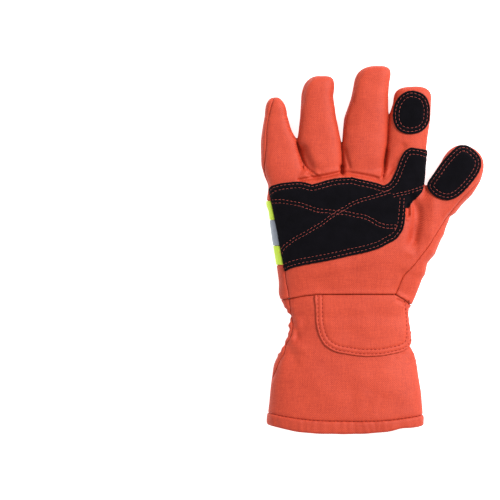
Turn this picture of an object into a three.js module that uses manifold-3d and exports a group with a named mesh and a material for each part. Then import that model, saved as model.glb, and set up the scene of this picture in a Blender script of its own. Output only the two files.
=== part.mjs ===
// Firefighter glove for the right hand, lying palm up with its back on the surface.
// Millimetres: +X to the thumb side, +Y to the fingertips, +Z up through the palm.
// Y is 0 at the wrist seam and X is 0 on the glove's centre line until the last lines,
// which move the origin to the middle of the glove's underside.

import * as THREE from 'three';
import { mergeVertices } from 'three/addons/utils/BufferGeometryUtils.js';
import Module from 'manifold-3d';

// Sizes of the hand
const PALM_LENGTH = 91; // wrist seam to the roots of the fingers
const HAND_WIDTH = 121; // over the knuckles, without the thumb
const PALM_THICKNESS = 27;

// Sizes of the wrist and the cuff
const WRIST_WIDTH = 93;
const WRIST_THICKNESS = 19;
const WRIST_LIFT = 5; // the gathered wrist is drawn up from the surface
const CUFF_LENGTH = 108; // wrist seam to the mouth
const CUFF_WIDTH = 119;
const CUFF_THICKNESS = 31;
const HEM_HEIGHT = 9.4;

// Sizes of the fingers and the thumb
const LITTLE_LENGTH = 63;
const LITTLE_WIDTH = 35;
const LITTLE_THICKNESS = 18;
const RING_LENGTH = 80;
const RING_WIDTH = 34.5;
const RING_THICKNESS = 20;
const MIDDLE_LENGTH = 87;
const MIDDLE_WIDTH = 36;
const MIDDLE_THICKNESS = 21;
const INDEX_LENGTH = 71;
const INDEX_WIDTH = 33;
const INDEX_THICKNESS = 20;
const THUMB_LENGTH = 61;
const THUMB_WIDTH = 34.5;
const THUMB_THICKNESS = 22;
const THUMB_LEAN = 28; // degrees from the fingers' direction

// Cloth, suede and trim
const WALL = 3; // padded cloth with its liner
const SUEDE = 1.2;
const PATCH_CLOTH = 1.6;
const TAPE = 1;
const HEM_RISE = 0.8; // the rolled hem stands out this far on both faces
const YELLOW_WIDTH = 15;
const SILVER_WIDTH = 20;
const TAPE_FROM_SEAM = 23; // wrist seam to the lower yellow strip

// How the pieces lie on each other
const GAP = 0.3;
const SLIT = 0.8; // between two fingers that lie side by side
const PARTED = 1.2; // fingers this far apart need no slit
const SEAM_INSET = 5.2; // side seams, in from the outline
const SETTLE = 2; // the round sections are flattened by this much where they rest
const GATHER_DEPTH = 2.2; // ribs of the gathered wrist, on the back

// How finely the round forms are cut into faces
const HAND_SIDES = { outer: 36, inner: 22 };
const FINGER_SIDES = { outer: 14, inner: 10 };
const CROWDING = 0.2; // corners are moved towards the flat top and bottom
const TIP_STATIONS = [0.45, 0.78, 0.96];
const HAND_ROUNDNESS = 2.7;
const FINGER_ROUNDNESS = 2.4;

// Rows of the cuff, from the mouth up: shares of its length below the wrist seam, of the
// flare from wrist to mouth on each side, of the growth in thickness, and of the lift and
// gathers at the wrist.
const CUFF_ROWS = [
  { down: 1.1, left: 1.0, right: 1.0, thick: 1.0, lift: 0, gather: 0 },
  { down: 0.85, left: 1.0, right: 1.0, thick: 1.0, lift: 0, gather: 0 },
  { down: 0.72, left: 0.92, right: 0.98, thick: 0.95, lift: 0, gather: 0 },
  { down: 0.59, left: 0.8, right: 0.8, thick: 0.85, lift: 0, gather: 0 },
  { down: 0.5, left: 0.7, right: 0.62, thick: 0.7, lift: 0.05, gather: 0.2 },
  { down: 0.42, left: 0.38, right: 0.48, thick: 0.5, lift: 0.3, gather: 0.6 },
  { down: 0.36, left: 0.06, right: 0.2, thick: 0.3, lift: 0.7, gather: 1 },
  { down: 0.287, left: -0.27, right: 0.24, thick: 0.12, lift: 1, gather: 1 },
  { down: 0.22, left: -0.21, right: 0.12, thick: 0.1, lift: 1, gather: 1 },
  { down: 0.157, left: -0.33, right: 0.06, thick: 0.0, lift: 1, gather: 1 },
  { down: 0.113, left: -0.15, right: 0.02, thick: 0.08, lift: 0.9, gather: 0.8 },
  { down: 0.06, left: 0.1, right: 0.36, thick: 0.16, lift: 0.6, gather: 0.4 },
];

// Rows of the hand, from the wrist seam up: shares of the palm's length, of the hand's
// width on each side of the centre line, of the palm's thickness and of the wrist's lift.
const HAND_ROWS = [
  { up: 0.0, left: 0.422, right: 0.456, thick: 0.87, lift: 0.25 },
  { up: 0.1, left: 0.425, right: 0.493, thick: 0.95, lift: 0.0 },
  { up: 0.28, left: 0.435, right: 0.538, thick: 1.0, lift: 0.0 },
  { up: 0.43, left: 0.452, right: 0.55, thick: 1.0, lift: 0.0 },
  { up: 0.59, left: 0.47, right: 0.55, thick: 0.98, lift: 0.0 },
  { up: 0.74, left: 0.485, right: 0.535, thick: 0.95, lift: 0.0 },
  { up: 0.9, left: 0.499, right: 0.52, thick: 0.9, lift: 0.0 },
  { up: 0.965, left: 0.486, right: 0.51, thick: 0.82, lift: 0.0 },
];
const HAND_END = 0.13; // share of the palm's length in which the hand rounds off

// Rows of each finger, from inside the palm to where its tip starts to round: shares of
// its length from the root, of its width to the side and across, and of its thickness.
const LITTLE_ROWS = [
  { up: -0.3, side: 0.03, width: 0.9, thick: 0.95 },
  { up: 0.0, side: 0.01, width: 0.99, thick: 1.0 },
  { up: 0.15, side: -0.08, width: 0.97, thick: 1.02 },
  { up: 0.45, side: -0.16, width: 0.83, thick: 1.0 },
  { up: 0.59, side: -0.22, width: 0.65, thick: 0.95 },
  { up: 0.78, side: -0.24, width: 0.5, thick: 0.85 },
];
const RING_ROWS = [
  { up: -0.25, side: 0.02, width: 0.84, thick: 0.95 },
  { up: 0.0, side: 0.0, width: 0.9, thick: 0.96 },
  { up: 0.16, side: -0.055, width: 0.96, thick: 1.03 },
  { up: 0.35, side: -0.11, width: 1.0, thick: 1.02 },
  { up: 0.585, side: -0.133, width: 0.82, thick: 0.98 },
  { up: 0.8, side: -0.15, width: 0.735, thick: 0.92 },
];
const MIDDLE_ROWS = [
  { up: -0.22, side: 0.0, width: 0.86, thick: 0.95 },
  { up: 0.0, side: 0.0, width: 0.9, thick: 0.94 },
  { up: 0.16, side: 0.03, width: 0.93, thick: 1.02 },
  { up: 0.32, side: 0.055, width: 1.0, thick: 1.02 },
  { up: 0.54, side: 0.076, width: 0.957, thick: 0.98 },
  { up: 0.72, side: 0.15, width: 0.8, thick: 0.95 },
  { up: 0.86, side: 0.195, width: 0.77, thick: 0.9 },
];
const INDEX_ROWS = [
  { up: -0.25, side: -0.03, width: 0.94, thick: 0.95 },
  { up: 0.0, side: 0.0, width: 1.0, thick: 0.98 },
  { up: 0.26, side: 0.07, width: 0.95, thick: 1.0 },
  { up: 0.4, side: 0.105, width: 0.93, thick: 1.0 },
  { up: 0.66, side: 0.145, width: 1.0, thick: 0.98 },
  { up: 0.83, side: 0.215, width: 0.9, thick: 0.92 },
];
const THUMB_ROWS = [
  { up: -0.72, side: 0.0, width: 1.02, thick: 1.0 },
  { up: -0.35, side: 0.015, width: 1.05, thick: 1.02 },
  { up: 0.0, side: 0.01, width: 0.92, thick: 1.0 },
  { up: 0.3, side: 0.067, width: 0.93, thick: 0.98 },
  { up: 0.45, side: 0.115, width: 1.0, thick: 0.98 },
  { up: 0.65, side: 0.145, width: 0.99, thick: 0.95 },
];

// Soft folds pressed into the palm side: shares of the hand's width and the palm's length
// at both ends, and of the palm's thickness for how deep and how wide they are.
const FOLDS = [
  { fromX: -0.32, fromY: -0.2, toX: -0.2, toY: -0.44, deep: 0.07, wide: 0.2 },
  { fromX: 0.13, fromY: -0.9, toX: 0.12, toY: -1.15, deep: 0.06, wide: 0.3 },
  { fromX: -0.21, fromY: 0.97, toX: 0.32, toY: 0.97, deep: 0.08, wide: 0.16 },
  { fromX: 0.5, fromY: 0.82, toX: 0.44, toY: 0.38, deep: 0.14, wide: 0.2 },
  { fromX: 0.05, fromY: 1.56, toX: 0.1, toY: 1.6, deep: 0.05, wide: 0.22 },
  { fromX: 0.34, fromY: 1.22, toX: 0.27, toY: 0.97, deep: 0.06, wide: 0.14 },
];

// The wrist seam from side to side: shares of the wrist's width and the palm's length.
const WRIST_SEAM = [
  { across: -1.5, along: -0.04 },
  { across: -0.46, along: -0.034 },
  { across: -0.25, along: 0.0 },
  { across: 0.42, along: 0.0 },
  { across: 0.495, along: -0.044 },
  { across: 0.565, along: -0.088 },
  { across: 1.5, along: -0.09 },
];

// The edge of the mouth from side to side: shares of the cuff's width and length.
const MOUTH = [
  { across: -1.0, along: 0.9 },
  { across: -0.52, along: 0.91 },
  { across: -0.475, along: 0.948 },
  { across: -0.327, along: 0.981 },
  { across: -0.1, along: 1.0 },
  { across: 0.1, along: 1.0 },
  { across: 0.235, along: 0.99 },
  { across: 0.36, along: 0.963 },
  { across: 0.478, along: 0.952 },
  { across: 0.51, along: 0.905 },
  { across: 1.0, along: 0.9 },
];

// The seam that carries the back panel round the ball of the thumb, from the thumb down
// to the wrist: shares of the hand's width and the palm's length.
const THENAR_SEAM = [
  { across: 0.7, along: 0.72 },
  { across: 0.646, along: 0.651 },
  { across: 0.57, along: 0.488 },
  { across: 0.484, along: 0.325 },
  { across: 0.374, along: 0.158 },
  { across: 0.325, along: 0.0 },
  { across: 0.3, along: -0.2 },
];

// Outline of the palm patch: shares of the hand's width and the palm's length.
const PALM_PATCH = [
  { across: -0.494, along: 0.905 },
  { across: -0.426, along: 0.952 },
  { across: -0.292, along: 0.969 },
  { across: -0.217, along: 0.947 },
  { across: -0.117, along: 0.981 },
  { across: 0.0, along: 1.003 },
  { across: 0.157, along: 0.972 },
  { across: 0.246, along: 0.939 },
  { across: 0.295, along: 0.981 },
  { across: 0.328, along: 1.08 },
  { across: 0.361, along: 1.189 },
  { across: 0.417, along: 1.258 },
  { across: 0.49, along: 1.247 },
  { across: 0.57, along: 1.233 },
  { across: 0.54, along: 1.1 },
  { across: 0.52, along: 1.0 },
  { across: 0.505, along: 0.931 },
  { across: 0.428, along: 0.785 },
  { across: 0.413, along: 0.745 },
  { across: 0.389, along: 0.742 },
  { across: 0.386, along: 0.665 },
  { across: 0.365, along: 0.542 },
  { across: 0.321, along: 0.467 },
  { across: 0.232, along: 0.404 },
  { across: 0.045, along: 0.335 },
  { across: -0.135, along: 0.283 },
  { across: -0.351, along: 0.222 },
  { across: -0.39, along: 0.197 },
  { across: -0.41, along: 0.304 },
  { across: -0.452, along: 0.545 },
  { across: -0.479, along: 0.811 },
];

// Outline of the wrist patch: shares of the wrist's width and the cuff's length. Its
// upper edge follows the wrist seam, and its thumb side runs over the glove's edge.
const WRIST_PATCH = [
  { across: -0.252, along: -0.012 },
  { across: -0.247, along: -0.185 },
  { across: -0.216, along: -0.303 },
  { across: -0.153, along: -0.377 },
  { across: -0.059, along: -0.416 },
  { across: 0.124, along: -0.441 },
  { across: 0.303, along: -0.439 },
  { across: 0.485, along: -0.409 },
  { across: 0.565, along: -0.36 },
  { across: 0.64, along: -0.3 },
  { across: 0.64, along: -0.088 },
  { across: 0.57, along: -0.088 },
  { across: 0.495, along: -0.052 },
  { across: 0.415, along: -0.012 },
];

// Outlines of the suede ovals: shares of the finger's width and length from its root.
const INDEX_OVAL = { across: 0.195, along: 0.718, width: 0.45, length: 0.242 };
const THUMB_OVAL = [
  { across: -0.075, along: 0.982 },
  { across: -0.273, along: 0.777 },
  { across: -0.377, along: 0.412 },
  { across: -0.363, along: 0.297 },
  { across: -0.161, along: 0.227 },
  { across: 0.17, along: 0.247 },
  { across: 0.38, along: 0.376 },
  { across: 0.495, along: 0.599 },
  { across: 0.53, along: 0.788 },
  { across: 0.425, along: 0.926 },
  { across: 0.184, along: 0.988 },
];
const OVAL_POINTS = 28;

// Where the webs between the fingers and the tape's inner end lie, as shares of the palm's
// length and the hand's width.
const WEBS = [1.06, 1.06, 0.985];
const TAPE_END = 0.355;

const wasm = await Module();
wasm.setup();

const REACH = 2 * (CUFF_LENGTH + PALM_LENGTH + MIDDLE_LENGTH); // larger than the glove

// A closed mesh as a solid that can be joined and cut
function solidOf(geometry) {
  const bare = geometry.clone();
  bare.deleteAttribute('normal');
  bare.deleteAttribute('uv');
  const merged = mergeVertices(bare, 1e-4);
  return new wasm.Manifold(new wasm.Mesh({
    numProp: 3,
    vertProperties: new Float32Array(merged.attributes.position.array),
    triVerts: new Uint32Array(merged.index.array),
  }));
}

// A solid as a named mesh with its own material
function meshOf(solid, name, look) {
  const { vertProperties, triVerts, numProp } = solid.getMesh();
  const geometry = new THREE.BufferGeometry();
  const place = new Float32Array((vertProperties.length / numProp) * 3);
  for (let i = 0; i < place.length / 3; i++) {
    place.set(vertProperties.subarray(i * numProp, i * numProp + 3), i * 3);
  }
  geometry.setAttribute('position', new THREE.BufferAttribute(place, 3));
  geometry.setIndex(new THREE.BufferAttribute(new Uint32Array(triVerts), 1));
  geometry.computeVertexNormals();
  const mesh = new THREE.Mesh(geometry, new THREE.MeshStandardMaterial(look));
  mesh.name = name;
  return mesh;
}

// Solids joined into one
function joined(solids) {
  return solids.reduce((whole, solid) => whole.add(solid));
}

// An upright prism over a flat outline
function prism(points) {
  const shape = new THREE.Shape(points);
  const geometry = new THREE.ExtrudeGeometry(shape, { depth: 2 * REACH, bevelEnabled: false });
  geometry.translate(0, 0, -REACH);
  return solidOf(geometry);
}

// A block between two places on each axis
function box(left, right, near, far, bottom, top) {
  const geometry = new THREE.BoxGeometry(right - left, far - near, top - bottom);
  geometry.translate((left + right) / 2, (near + far) / 2, (bottom + top) / 2);
  return solidOf(geometry);
}

// Points of a table of shares, in millimetres
function placed(table, width, length) {
  return table.map(({ across, along }) => new THREE.Vector2(across * width, along * length));
}

// A closed outline moved outward along its own normals
function grown(points, distance) {
  const turn = THREE.ShapeUtils.isClockWise(points) ? -1 : 1;
  return points.map((point, i) => {
    const before = points.at(i - 1);
    const after = points[(i + 1) % points.length];
    const run = after.clone().sub(before).normalize();
    return new THREE.Vector2(point.x + turn * run.y * distance, point.y - turn * run.x * distance);
  });
}

// Depth of the soft folds at a place on the palm side
function foldDepth(x, y) {
  let depth = 0;
  for (const fold of FOLDS) {
    const start = new THREE.Vector2(fold.fromX * HAND_WIDTH, fold.fromY * PALM_LENGTH);
    const end = new THREE.Vector2(fold.toX * HAND_WIDTH, fold.toY * PALM_LENGTH);
    const run = end.clone().sub(start);
    const away = new THREE.Vector2(x, y).sub(start);
    const share = THREE.MathUtils.clamp(away.dot(run) / run.lengthSq(), 0, 1);
    const distance = away.sub(run.multiplyScalar(share)).length();
    const width = fold.wide * PALM_THICKNESS;
    depth += fold.deep * PALM_THICKNESS * Math.exp(-((distance / width) ** 2));
  }
  return depth;
}

// The forms: rows of round sections along a straight line
const cuffFlare = (share) => THREE.MathUtils.lerp(WRIST_WIDTH, CUFF_WIDTH, share) / 2;

const mainForm = {
  root: new THREE.Vector2(0, 0),
  along: new THREE.Vector2(0, 1),
  sides: HAND_SIDES,
  roundness: HAND_ROUNDNESS,
  tipLength: HAND_END * PALM_LENGTH,
  tipShape: 2,
  tipSide: 0,
  rows: [
    ...CUFF_ROWS.map((row) => ({
      at: -row.down * CUFF_LENGTH,
      left: cuffFlare(row.left),
      right: cuffFlare(row.right),
      thick: THREE.MathUtils.lerp(WRIST_THICKNESS, CUFF_THICKNESS, row.thick),
      lift: row.lift * WRIST_LIFT,
      gather: row.gather * GATHER_DEPTH,
    })),
    ...HAND_ROWS.map((row) => ({
      at: row.up * PALM_LENGTH,
      left: row.left * HAND_WIDTH,
      right: row.right * HAND_WIDTH,
      thick: row.thick * PALM_THICKNESS,
      lift: row.lift * WRIST_LIFT,
      gather: 0,
    })),
  ],
};

// A finger from its root, its sizes, its tip and the shares in its rows
function finger(root, size, tip, rows) {
  const { length, width, thickness, lean } = size;
  const turn = THREE.MathUtils.degToRad(lean);
  return {
    root: new THREE.Vector2(root.across * HAND_WIDTH, root.along * PALM_LENGTH),
    along: new THREE.Vector2(Math.sin(turn), Math.cos(turn)),
    sides: FINGER_SIDES,
    roundness: FINGER_ROUNDNESS,
    tipLength: tip.share * length,
    tipShape: tip.shape,
    tipSide: tip.side * width,
    rows: rows.map((row) => ({
      at: row.up * length,
      left: (row.width / 2 - row.side) * width,
      right: (row.width / 2 + row.side) * width,
      thick: row.thick * thickness,
      lift: 0,
      gather: 0,
    })),
  };
}

const little = finger(
  { across: -0.377, along: 1 },
  { length: LITTLE_LENGTH, width: LITTLE_WIDTH, thickness: LITTLE_THICKNESS, lean: 0 },
  { share: 0.22, shape: 2, side: 0.06 },
  LITTLE_ROWS,
);
const ring = finger(
  { across: -0.135, along: 1 },
  { length: RING_LENGTH, width: RING_WIDTH, thickness: RING_THICKNESS, lean: 0 },
  { share: 0.2, shape: 2.3, side: 0.09 },
  RING_ROWS,
);
const middle = finger(
  { across: 0.115, along: 1 },
  { length: MIDDLE_LENGTH, width: MIDDLE_WIDTH, thickness: MIDDLE_THICKNESS, lean: 0 },
  { share: 0.14, shape: 3, side: 0.08 },
  MIDDLE_ROWS,
);
const index = finger(
  { across: 0.375, along: 1 },
  { length: INDEX_LENGTH, width: INDEX_WIDTH, thickness: INDEX_THICKNESS, lean: 0 },
  { share: 0.17, shape: 3, side: 0.05 },
  INDEX_ROWS,
);
const thumb = finger(
  { across: 0.548, along: 0.69 },
  { length: THUMB_LENGTH, width: THUMB_WIDTH, thickness: THUMB_THICKNESS, lean: THUMB_LEAN },
  { share: 0.35, shape: 2.3, side: -0.03 },
  THUMB_ROWS,
);
const fingers = [little, ring, middle, index];
const forms = [mainForm, ...fingers, thumb];

// The sections of a form, all grown outward by the same distance
function sectionsOf(form, grow) {
  const sections = form.rows.map((row) => ({
    at: row.at,
    left: row.left + grow,
    right: row.right + grow,
    middle: (row.thick + row.lift + row.lift - SETTLE) / 2,
    half: (row.thick + SETTLE) / 2 + grow,
    gather: row.gather,
  }));
  const last = sections.at(-1);
  for (const share of TIP_STATIONS) {
    const size = (1 - share ** form.tipShape) ** (1 / form.tipShape);
    const centre = (last.right - last.left) / 2 + form.tipSide * share;
    const halfWidth = ((last.right + last.left) / 2) * size;
    sections.push({
      at: last.at + (form.tipLength + grow) * share,
      left: halfWidth - centre,
      right: halfWidth + centre,
      middle: last.middle,
      half: last.half * size,
      gather: 0,
    });
  }
  return sections;
}

// The place on the ground of a point of a form
function onGround(form, at, side) {
  return new THREE.Vector2(
    form.root.x + form.along.x * at + form.along.y * side,
    form.root.y + form.along.y * at - form.along.x * side,
  );
}

// Rings of points joined by faces into a closed solid
function loft(rings) {
  const faces = [];
  const count = rings[0].length;
  for (let s = 0; s < rings.length - 1; s++) {
    for (let k = 0; k < count; k++) {
      const a = s * count + k;
      const b = s * count + ((k + 1) % count);
      faces.push(a, a + count, b, b, a + count, b + count);
    }
  }
  const end = (rings.length - 1) * count;
  for (let k = 1; k < count - 1; k++) {
    faces.push(0, k, k + 1, end, end + k + 1, end + k);
  }
  const geometry = new THREE.BufferGeometry().setFromPoints(rings.flat());
  geometry.setIndex(faces);
  return solidOf(geometry);
}

// One form as a closed solid with round sections
function formSolid(form, grow) {
  const power = 2 / form.roundness;
  const sides = grow < 0 ? form.sides.inner : form.sides.outer;
  return loft(sectionsOf(form, grow).map((section) => {
    const centre = (section.right - section.left) / 2;
    const halfWidth = (section.right + section.left) / 2;
    return Array.from({ length: sides }, (_, k) => {
      const even = (2 * Math.PI * k) / sides;
      const angle = even + CROWDING * Math.sin(2 * even);
      const cos = Math.sign(Math.cos(angle)) * Math.abs(Math.cos(angle)) ** power;
      const sin = Math.sign(Math.sin(angle)) * Math.abs(Math.sin(angle)) ** power;
      const ground = onGround(form, section.at, centre + halfWidth * cos);
      const rib = sin < 0 ? section.gather * (grow < 0 ? 1 : k % 2) : 0;
      const fold = sin > 0 ? foldDepth(ground.x, ground.y) * sin : 0;
      const height = section.middle + section.half * sin + rib - fold;
      return new THREE.Vector3(ground.x, ground.y, height);
    });
  }));
}

// The space over the middle of each form, drawn in from its outline by a distance and
// lowered by another
function upperHalves(inset, drop) {
  return joined(forms.map((form) => loft(sectionsOf(form, -inset).map((section) => {
    const right = onGround(form, section.at, section.right);
    const left = onGround(form, section.at, -section.left);
    const bottom = section.middle - drop;
    return [
      new THREE.Vector3(right.x, right.y, bottom),
      new THREE.Vector3(right.x, right.y, REACH),
      new THREE.Vector3(left.x, left.y, REACH),
      new THREE.Vector3(left.x, left.y, bottom),
    ];
  }))));
}

// The X of a finger's outline at a height Y
function edgeAt(form, side, y) {
  const sections = sectionsOf(form, 0);
  const points = sections.map((section) => onGround(form, section.at, side * (
    side < 0 ? section.left : section.right)));
  const next = Math.max(1, points.findIndex((point) => point.y > y));
  const share = (y - points[next - 1].y) / (points[next].y - points[next - 1].y);
  return THREE.MathUtils.lerp(points[next - 1].x, points[next].x, share);
}

// The slits between the fingers, from each web up to where the fingers part
function slits(halfWidth, below) {
  return WEBS.map((web, i) => {
    const start = web * PALM_LENGTH;
    const middleX = (y) => (edgeAt(fingers[i], 1, y) + edgeAt(fingers[i + 1], -1, y)) / 2;
    const width = (y) => edgeAt(fingers[i + 1], -1, y) - edgeAt(fingers[i], 1, y);
    let part = start;
    while (width(part) < PARTED && part < start + LITTLE_LENGTH) {
      part += SLIT;
    }
    const line = [0, 0.25, 0.5, 0.75, 1].map((share) => {
      const y = THREE.MathUtils.lerp(start, part, share);
      return new THREE.Vector2(middleX(y), y);
    });
    line[0].y -= below;
    const sides = [-1, 1].map((side) =>
      line.map((point) => new THREE.Vector2(point.x + side * halfWidth, point.y)));
    return prism([...sides[0], ...sides[1].reverse()]);
  });
}

// The glove's whole outer form, grown by a distance; nothing reaches below the surface,
// and a form that is drawn in lies as far above it
const bodies = new Map();
function body(grow) {
  if (!bodies.has(grow)) {
    const floor = box(-REACH, REACH, -REACH, REACH, -REACH, Math.max(0, -grow));
    const whole = joined(forms.map((form) => formSolid(form, grow))).subtract(floor);
    const halfSlit = SLIT / 2 - grow;
    bodies.set(grow, grow > 0 ? whole : whole.subtract(joined(slits(halfSlit, -grow))));
  }
  return bodies.get(grow);
}

// Everything on the finger side of the wrist seam, and on the hand side of the mouth
function aboveLine(table, width, length, shift) {
  const line = placed(table, width, length);
  line.forEach((point) => { point.y += shift; });
  return prism([...line, new THREE.Vector2(REACH, REACH), new THREE.Vector2(-REACH, REACH)]);
}
const wristLine = (shift) => aboveLine(WRIST_SEAM, WRIST_WIDTH, PALM_LENGTH, shift);
const mouthLine = (shift) => aboveLine(MOUTH, CUFF_WIDTH, -CUFF_LENGTH, shift);

// The space that holds the palm side's pieces, drawn in by the seam's inset
function palmSide(inset) {
  const seam = placed(THENAR_SEAM, HAND_WIDTH, PALM_LENGTH);
  seam.forEach((point) => { point.x += SEAM_INSET - inset; });
  const outer = [seam.at(-1), seam[0]].map((point) => new THREE.Vector2(REACH, point.y));
  const thenar = prism([...seam, ...outer]).intersect(wristLine(-GAP / 2));
  const webs = joined(slits(SLIT / 2 + inset, 0));
  return upperHalves(inset, 0).subtract(thenar).subtract(webs);
}

const shell = body(0).subtract(body(-WALL));
const hand = shell.intersect(wristLine(0));
const cuff = shell.subtract(wristLine(-GAP)).intersect(mouthLine(HEM_HEIGHT));
const hemShell = body(HEM_RISE).subtract(body(-WALL - HEM_RISE));
const hem = hemShell.intersect(mouthLine(0)).subtract(mouthLine(HEM_HEIGHT - GAP));

// Pieces laid on the outside of the glove
function laid(thickness, outline) {
  const layer = body(GAP + thickness).subtract(body(GAP));
  return layer.intersect(prism(outline)).intersect(upperHalves(-GAP - thickness - WALL, 0));
}

const palmOutline = placed(PALM_PATCH, HAND_WIDTH, PALM_LENGTH);
const wristOutline = placed(WRIST_PATCH, WRIST_WIDTH, CUFF_LENGTH);
const indexOutline = Array.from({ length: OVAL_POINTS }, (_, k) => {
  const angle = (2 * Math.PI * k) / OVAL_POINTS;
  const along = (INDEX_OVAL.along + INDEX_OVAL.length * Math.sin(angle)) * INDEX_LENGTH;
  const side = (INDEX_OVAL.across + INDEX_OVAL.width * Math.cos(angle)) * INDEX_WIDTH;
  return onGround(index, along, side);
});
const thumbCurve = new THREE.CatmullRomCurve3(THUMB_OVAL.map(({ across, along }) => {
  const point = onGround(thumb, along * THUMB_LENGTH, across * THUMB_WIDTH);
  return new THREE.Vector3(point.x, point.y, 0);
}), true);
const thumbOutline = thumbCurve.getPoints(OVAL_POINTS).slice(0, -1).map(
  (point) => new THREE.Vector2(point.x, point.y));

// The tape: flat under the back, round the little-finger edge and up to the palm side
const tapeEnd = TAPE_END * HAND_WIDTH;
const palmPatchSpace = prism(grown(palmOutline, GAP)).intersect(
  upperHalves(-GAP - SUEDE - WALL, GAP));
const tapeLayer = body(GAP + TAPE)
  .subtract(body(GAP).subtract(box(-REACH, REACH, -REACH, REACH, -REACH, TAPE)))
  .subtract(palmSide(SEAM_INSET - GAP))
  .subtract(palmPatchSpace);
function strip(start, width) {
  return tapeLayer.intersect(
    box(-REACH, tapeEnd, start + GAP / 2, start + width - GAP / 2, -REACH, REACH));
}
const silverStart = TAPE_FROM_SEAM + YELLOW_WIDTH;
const upperStart = silverStart + SILVER_WIDTH;
const tapeTop = upperStart + YELLOW_WIDTH;
const tapeBed = box(
  -REACH, tapeEnd + GAP, TAPE_FROM_SEAM - GAP, tapeTop + GAP, -REACH, TAPE + GAP);

const ORANGE = { color: 0xde5640, roughness: 0.85, metalness: 0 };
const BLACK = { color: 0x141217, roughness: 0.95, metalness: 0 };
const YELLOW = { color: 0xc8e13c, roughness: 0.6, metalness: 0 };
const SILVER = { color: 0x8c94a5, roughness: 0.35, metalness: 0.3 };

const glove = new THREE.Group();
glove.add(
  meshOf(hand.intersect(palmSide(SEAM_INSET + GAP)), 'palm_panel', ORANGE),
  meshOf(hand.subtract(palmSide(SEAM_INSET)).subtract(tapeBed), 'back_panel', ORANGE),
  meshOf(cuff.intersect(palmSide(SEAM_INSET + GAP)), 'cuff_palm_panel', ORANGE),
  meshOf(cuff.subtract(palmSide(SEAM_INSET)), 'cuff_back_panel', ORANGE),
  meshOf(hem, 'cuff_hem', ORANGE),
  meshOf(laid(PATCH_CLOTH, wristOutline), 'wrist_patch', ORANGE),
  meshOf(laid(SUEDE, palmOutline), 'palm_patch', BLACK),
  meshOf(laid(SUEDE, indexOutline), 'index_tip_patch', BLACK),
  meshOf(laid(SUEDE, thumbOutline), 'thumb_tip_patch', BLACK),
  meshOf(strip(silverStart, SILVER_WIDTH), 'reflective_tape', SILVER),
  meshOf(strip(upperStart, YELLOW_WIDTH), 'hi_vis_band_upper', YELLOW),
  meshOf(strip(TAPE_FROM_SEAM, YELLOW_WIDTH), 'hi_vis_band_lower', YELLOW),
);

// The origin goes to the middle of the underside
const middlePoint = new THREE.Box3().setFromObject(glove).getCenter(new THREE.Vector3());
glove.position.set(-middlePoint.x, -middlePoint.y, 0);

export default glove;
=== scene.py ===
# %% [markdown]
# # A firefighter glove in Blender
# The object is a padded right-hand glove that lies palm up: bright orange-red cloth, black
# suede patches with two rows of thread, a gathered wrist, a flared cuff with a rolled hem,
# and yellow and silver tape round the little-finger edge.
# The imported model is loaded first. It fixes the frame, the sizes and the names that every
# piece made here stands for.

# %% Load the frame
import math

import bpy
import numpy as np
import openvdb
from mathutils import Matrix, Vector


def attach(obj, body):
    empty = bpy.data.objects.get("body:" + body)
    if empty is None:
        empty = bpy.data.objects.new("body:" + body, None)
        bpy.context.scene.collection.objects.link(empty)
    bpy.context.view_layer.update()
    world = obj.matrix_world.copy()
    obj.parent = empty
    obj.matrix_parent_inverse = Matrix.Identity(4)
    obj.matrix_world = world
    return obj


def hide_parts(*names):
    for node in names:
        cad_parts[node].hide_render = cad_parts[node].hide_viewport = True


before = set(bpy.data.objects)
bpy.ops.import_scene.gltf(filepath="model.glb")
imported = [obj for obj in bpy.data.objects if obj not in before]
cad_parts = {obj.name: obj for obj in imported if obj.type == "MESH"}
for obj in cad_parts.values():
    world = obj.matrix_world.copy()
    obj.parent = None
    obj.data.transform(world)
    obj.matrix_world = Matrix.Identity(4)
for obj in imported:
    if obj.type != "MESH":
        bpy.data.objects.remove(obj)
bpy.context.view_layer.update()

# %% [markdown]
# ## Measures
# The glove is laid out on a flat drawing, seen from straight above. Its points are counted
# in steps of 0.78 mm, rightwards and downwards, as on squared paper. One helper turns them
# into millimetres in the model's frame. Blender works in metres, so meshes are scaled once,
# when they are made.

# %% The drawing's scale
STEP = 0.78
DRAWING_ORIGIN = np.array([371.72, 249.84])
SEAM_ORIGIN = np.array([-20.84, -34.76])  # where the wrist seam crosses the centre line
METRE = 0.001
WALL = 3.0  # padded cloth with its liner


def drawn(points):
    """Points of the drawing, in millimetres of the model's frame."""
    points = np.asarray(points, float)
    return (points - DRAWING_ORIGIN) * STEP * np.array([1.0, -1.0])


print("one step of the drawing is", STEP, "mm, the wall is", WALL, "mm")

# %% [markdown]
# ## Curves on the flat drawing
# Seams, stitch rows and the edges of the patches are smooth curves through a few points. A
# centripetal Catmull-Rom curve passes through every point and makes no loops where points lie
# close together, which suits an outline that is traced. The curve is then cut into even
# steps, because distances to it are measured next.

# %% Smooth curves
CURVE_STEP = 0.8  # between the points of a seam, in millimetres
FINE_STEP = 0.6  # between the points of a patch's edge or a row of stitches
SPAN_SAMPLES = 12  # points on each span, before the curve is cut into even steps


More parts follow.
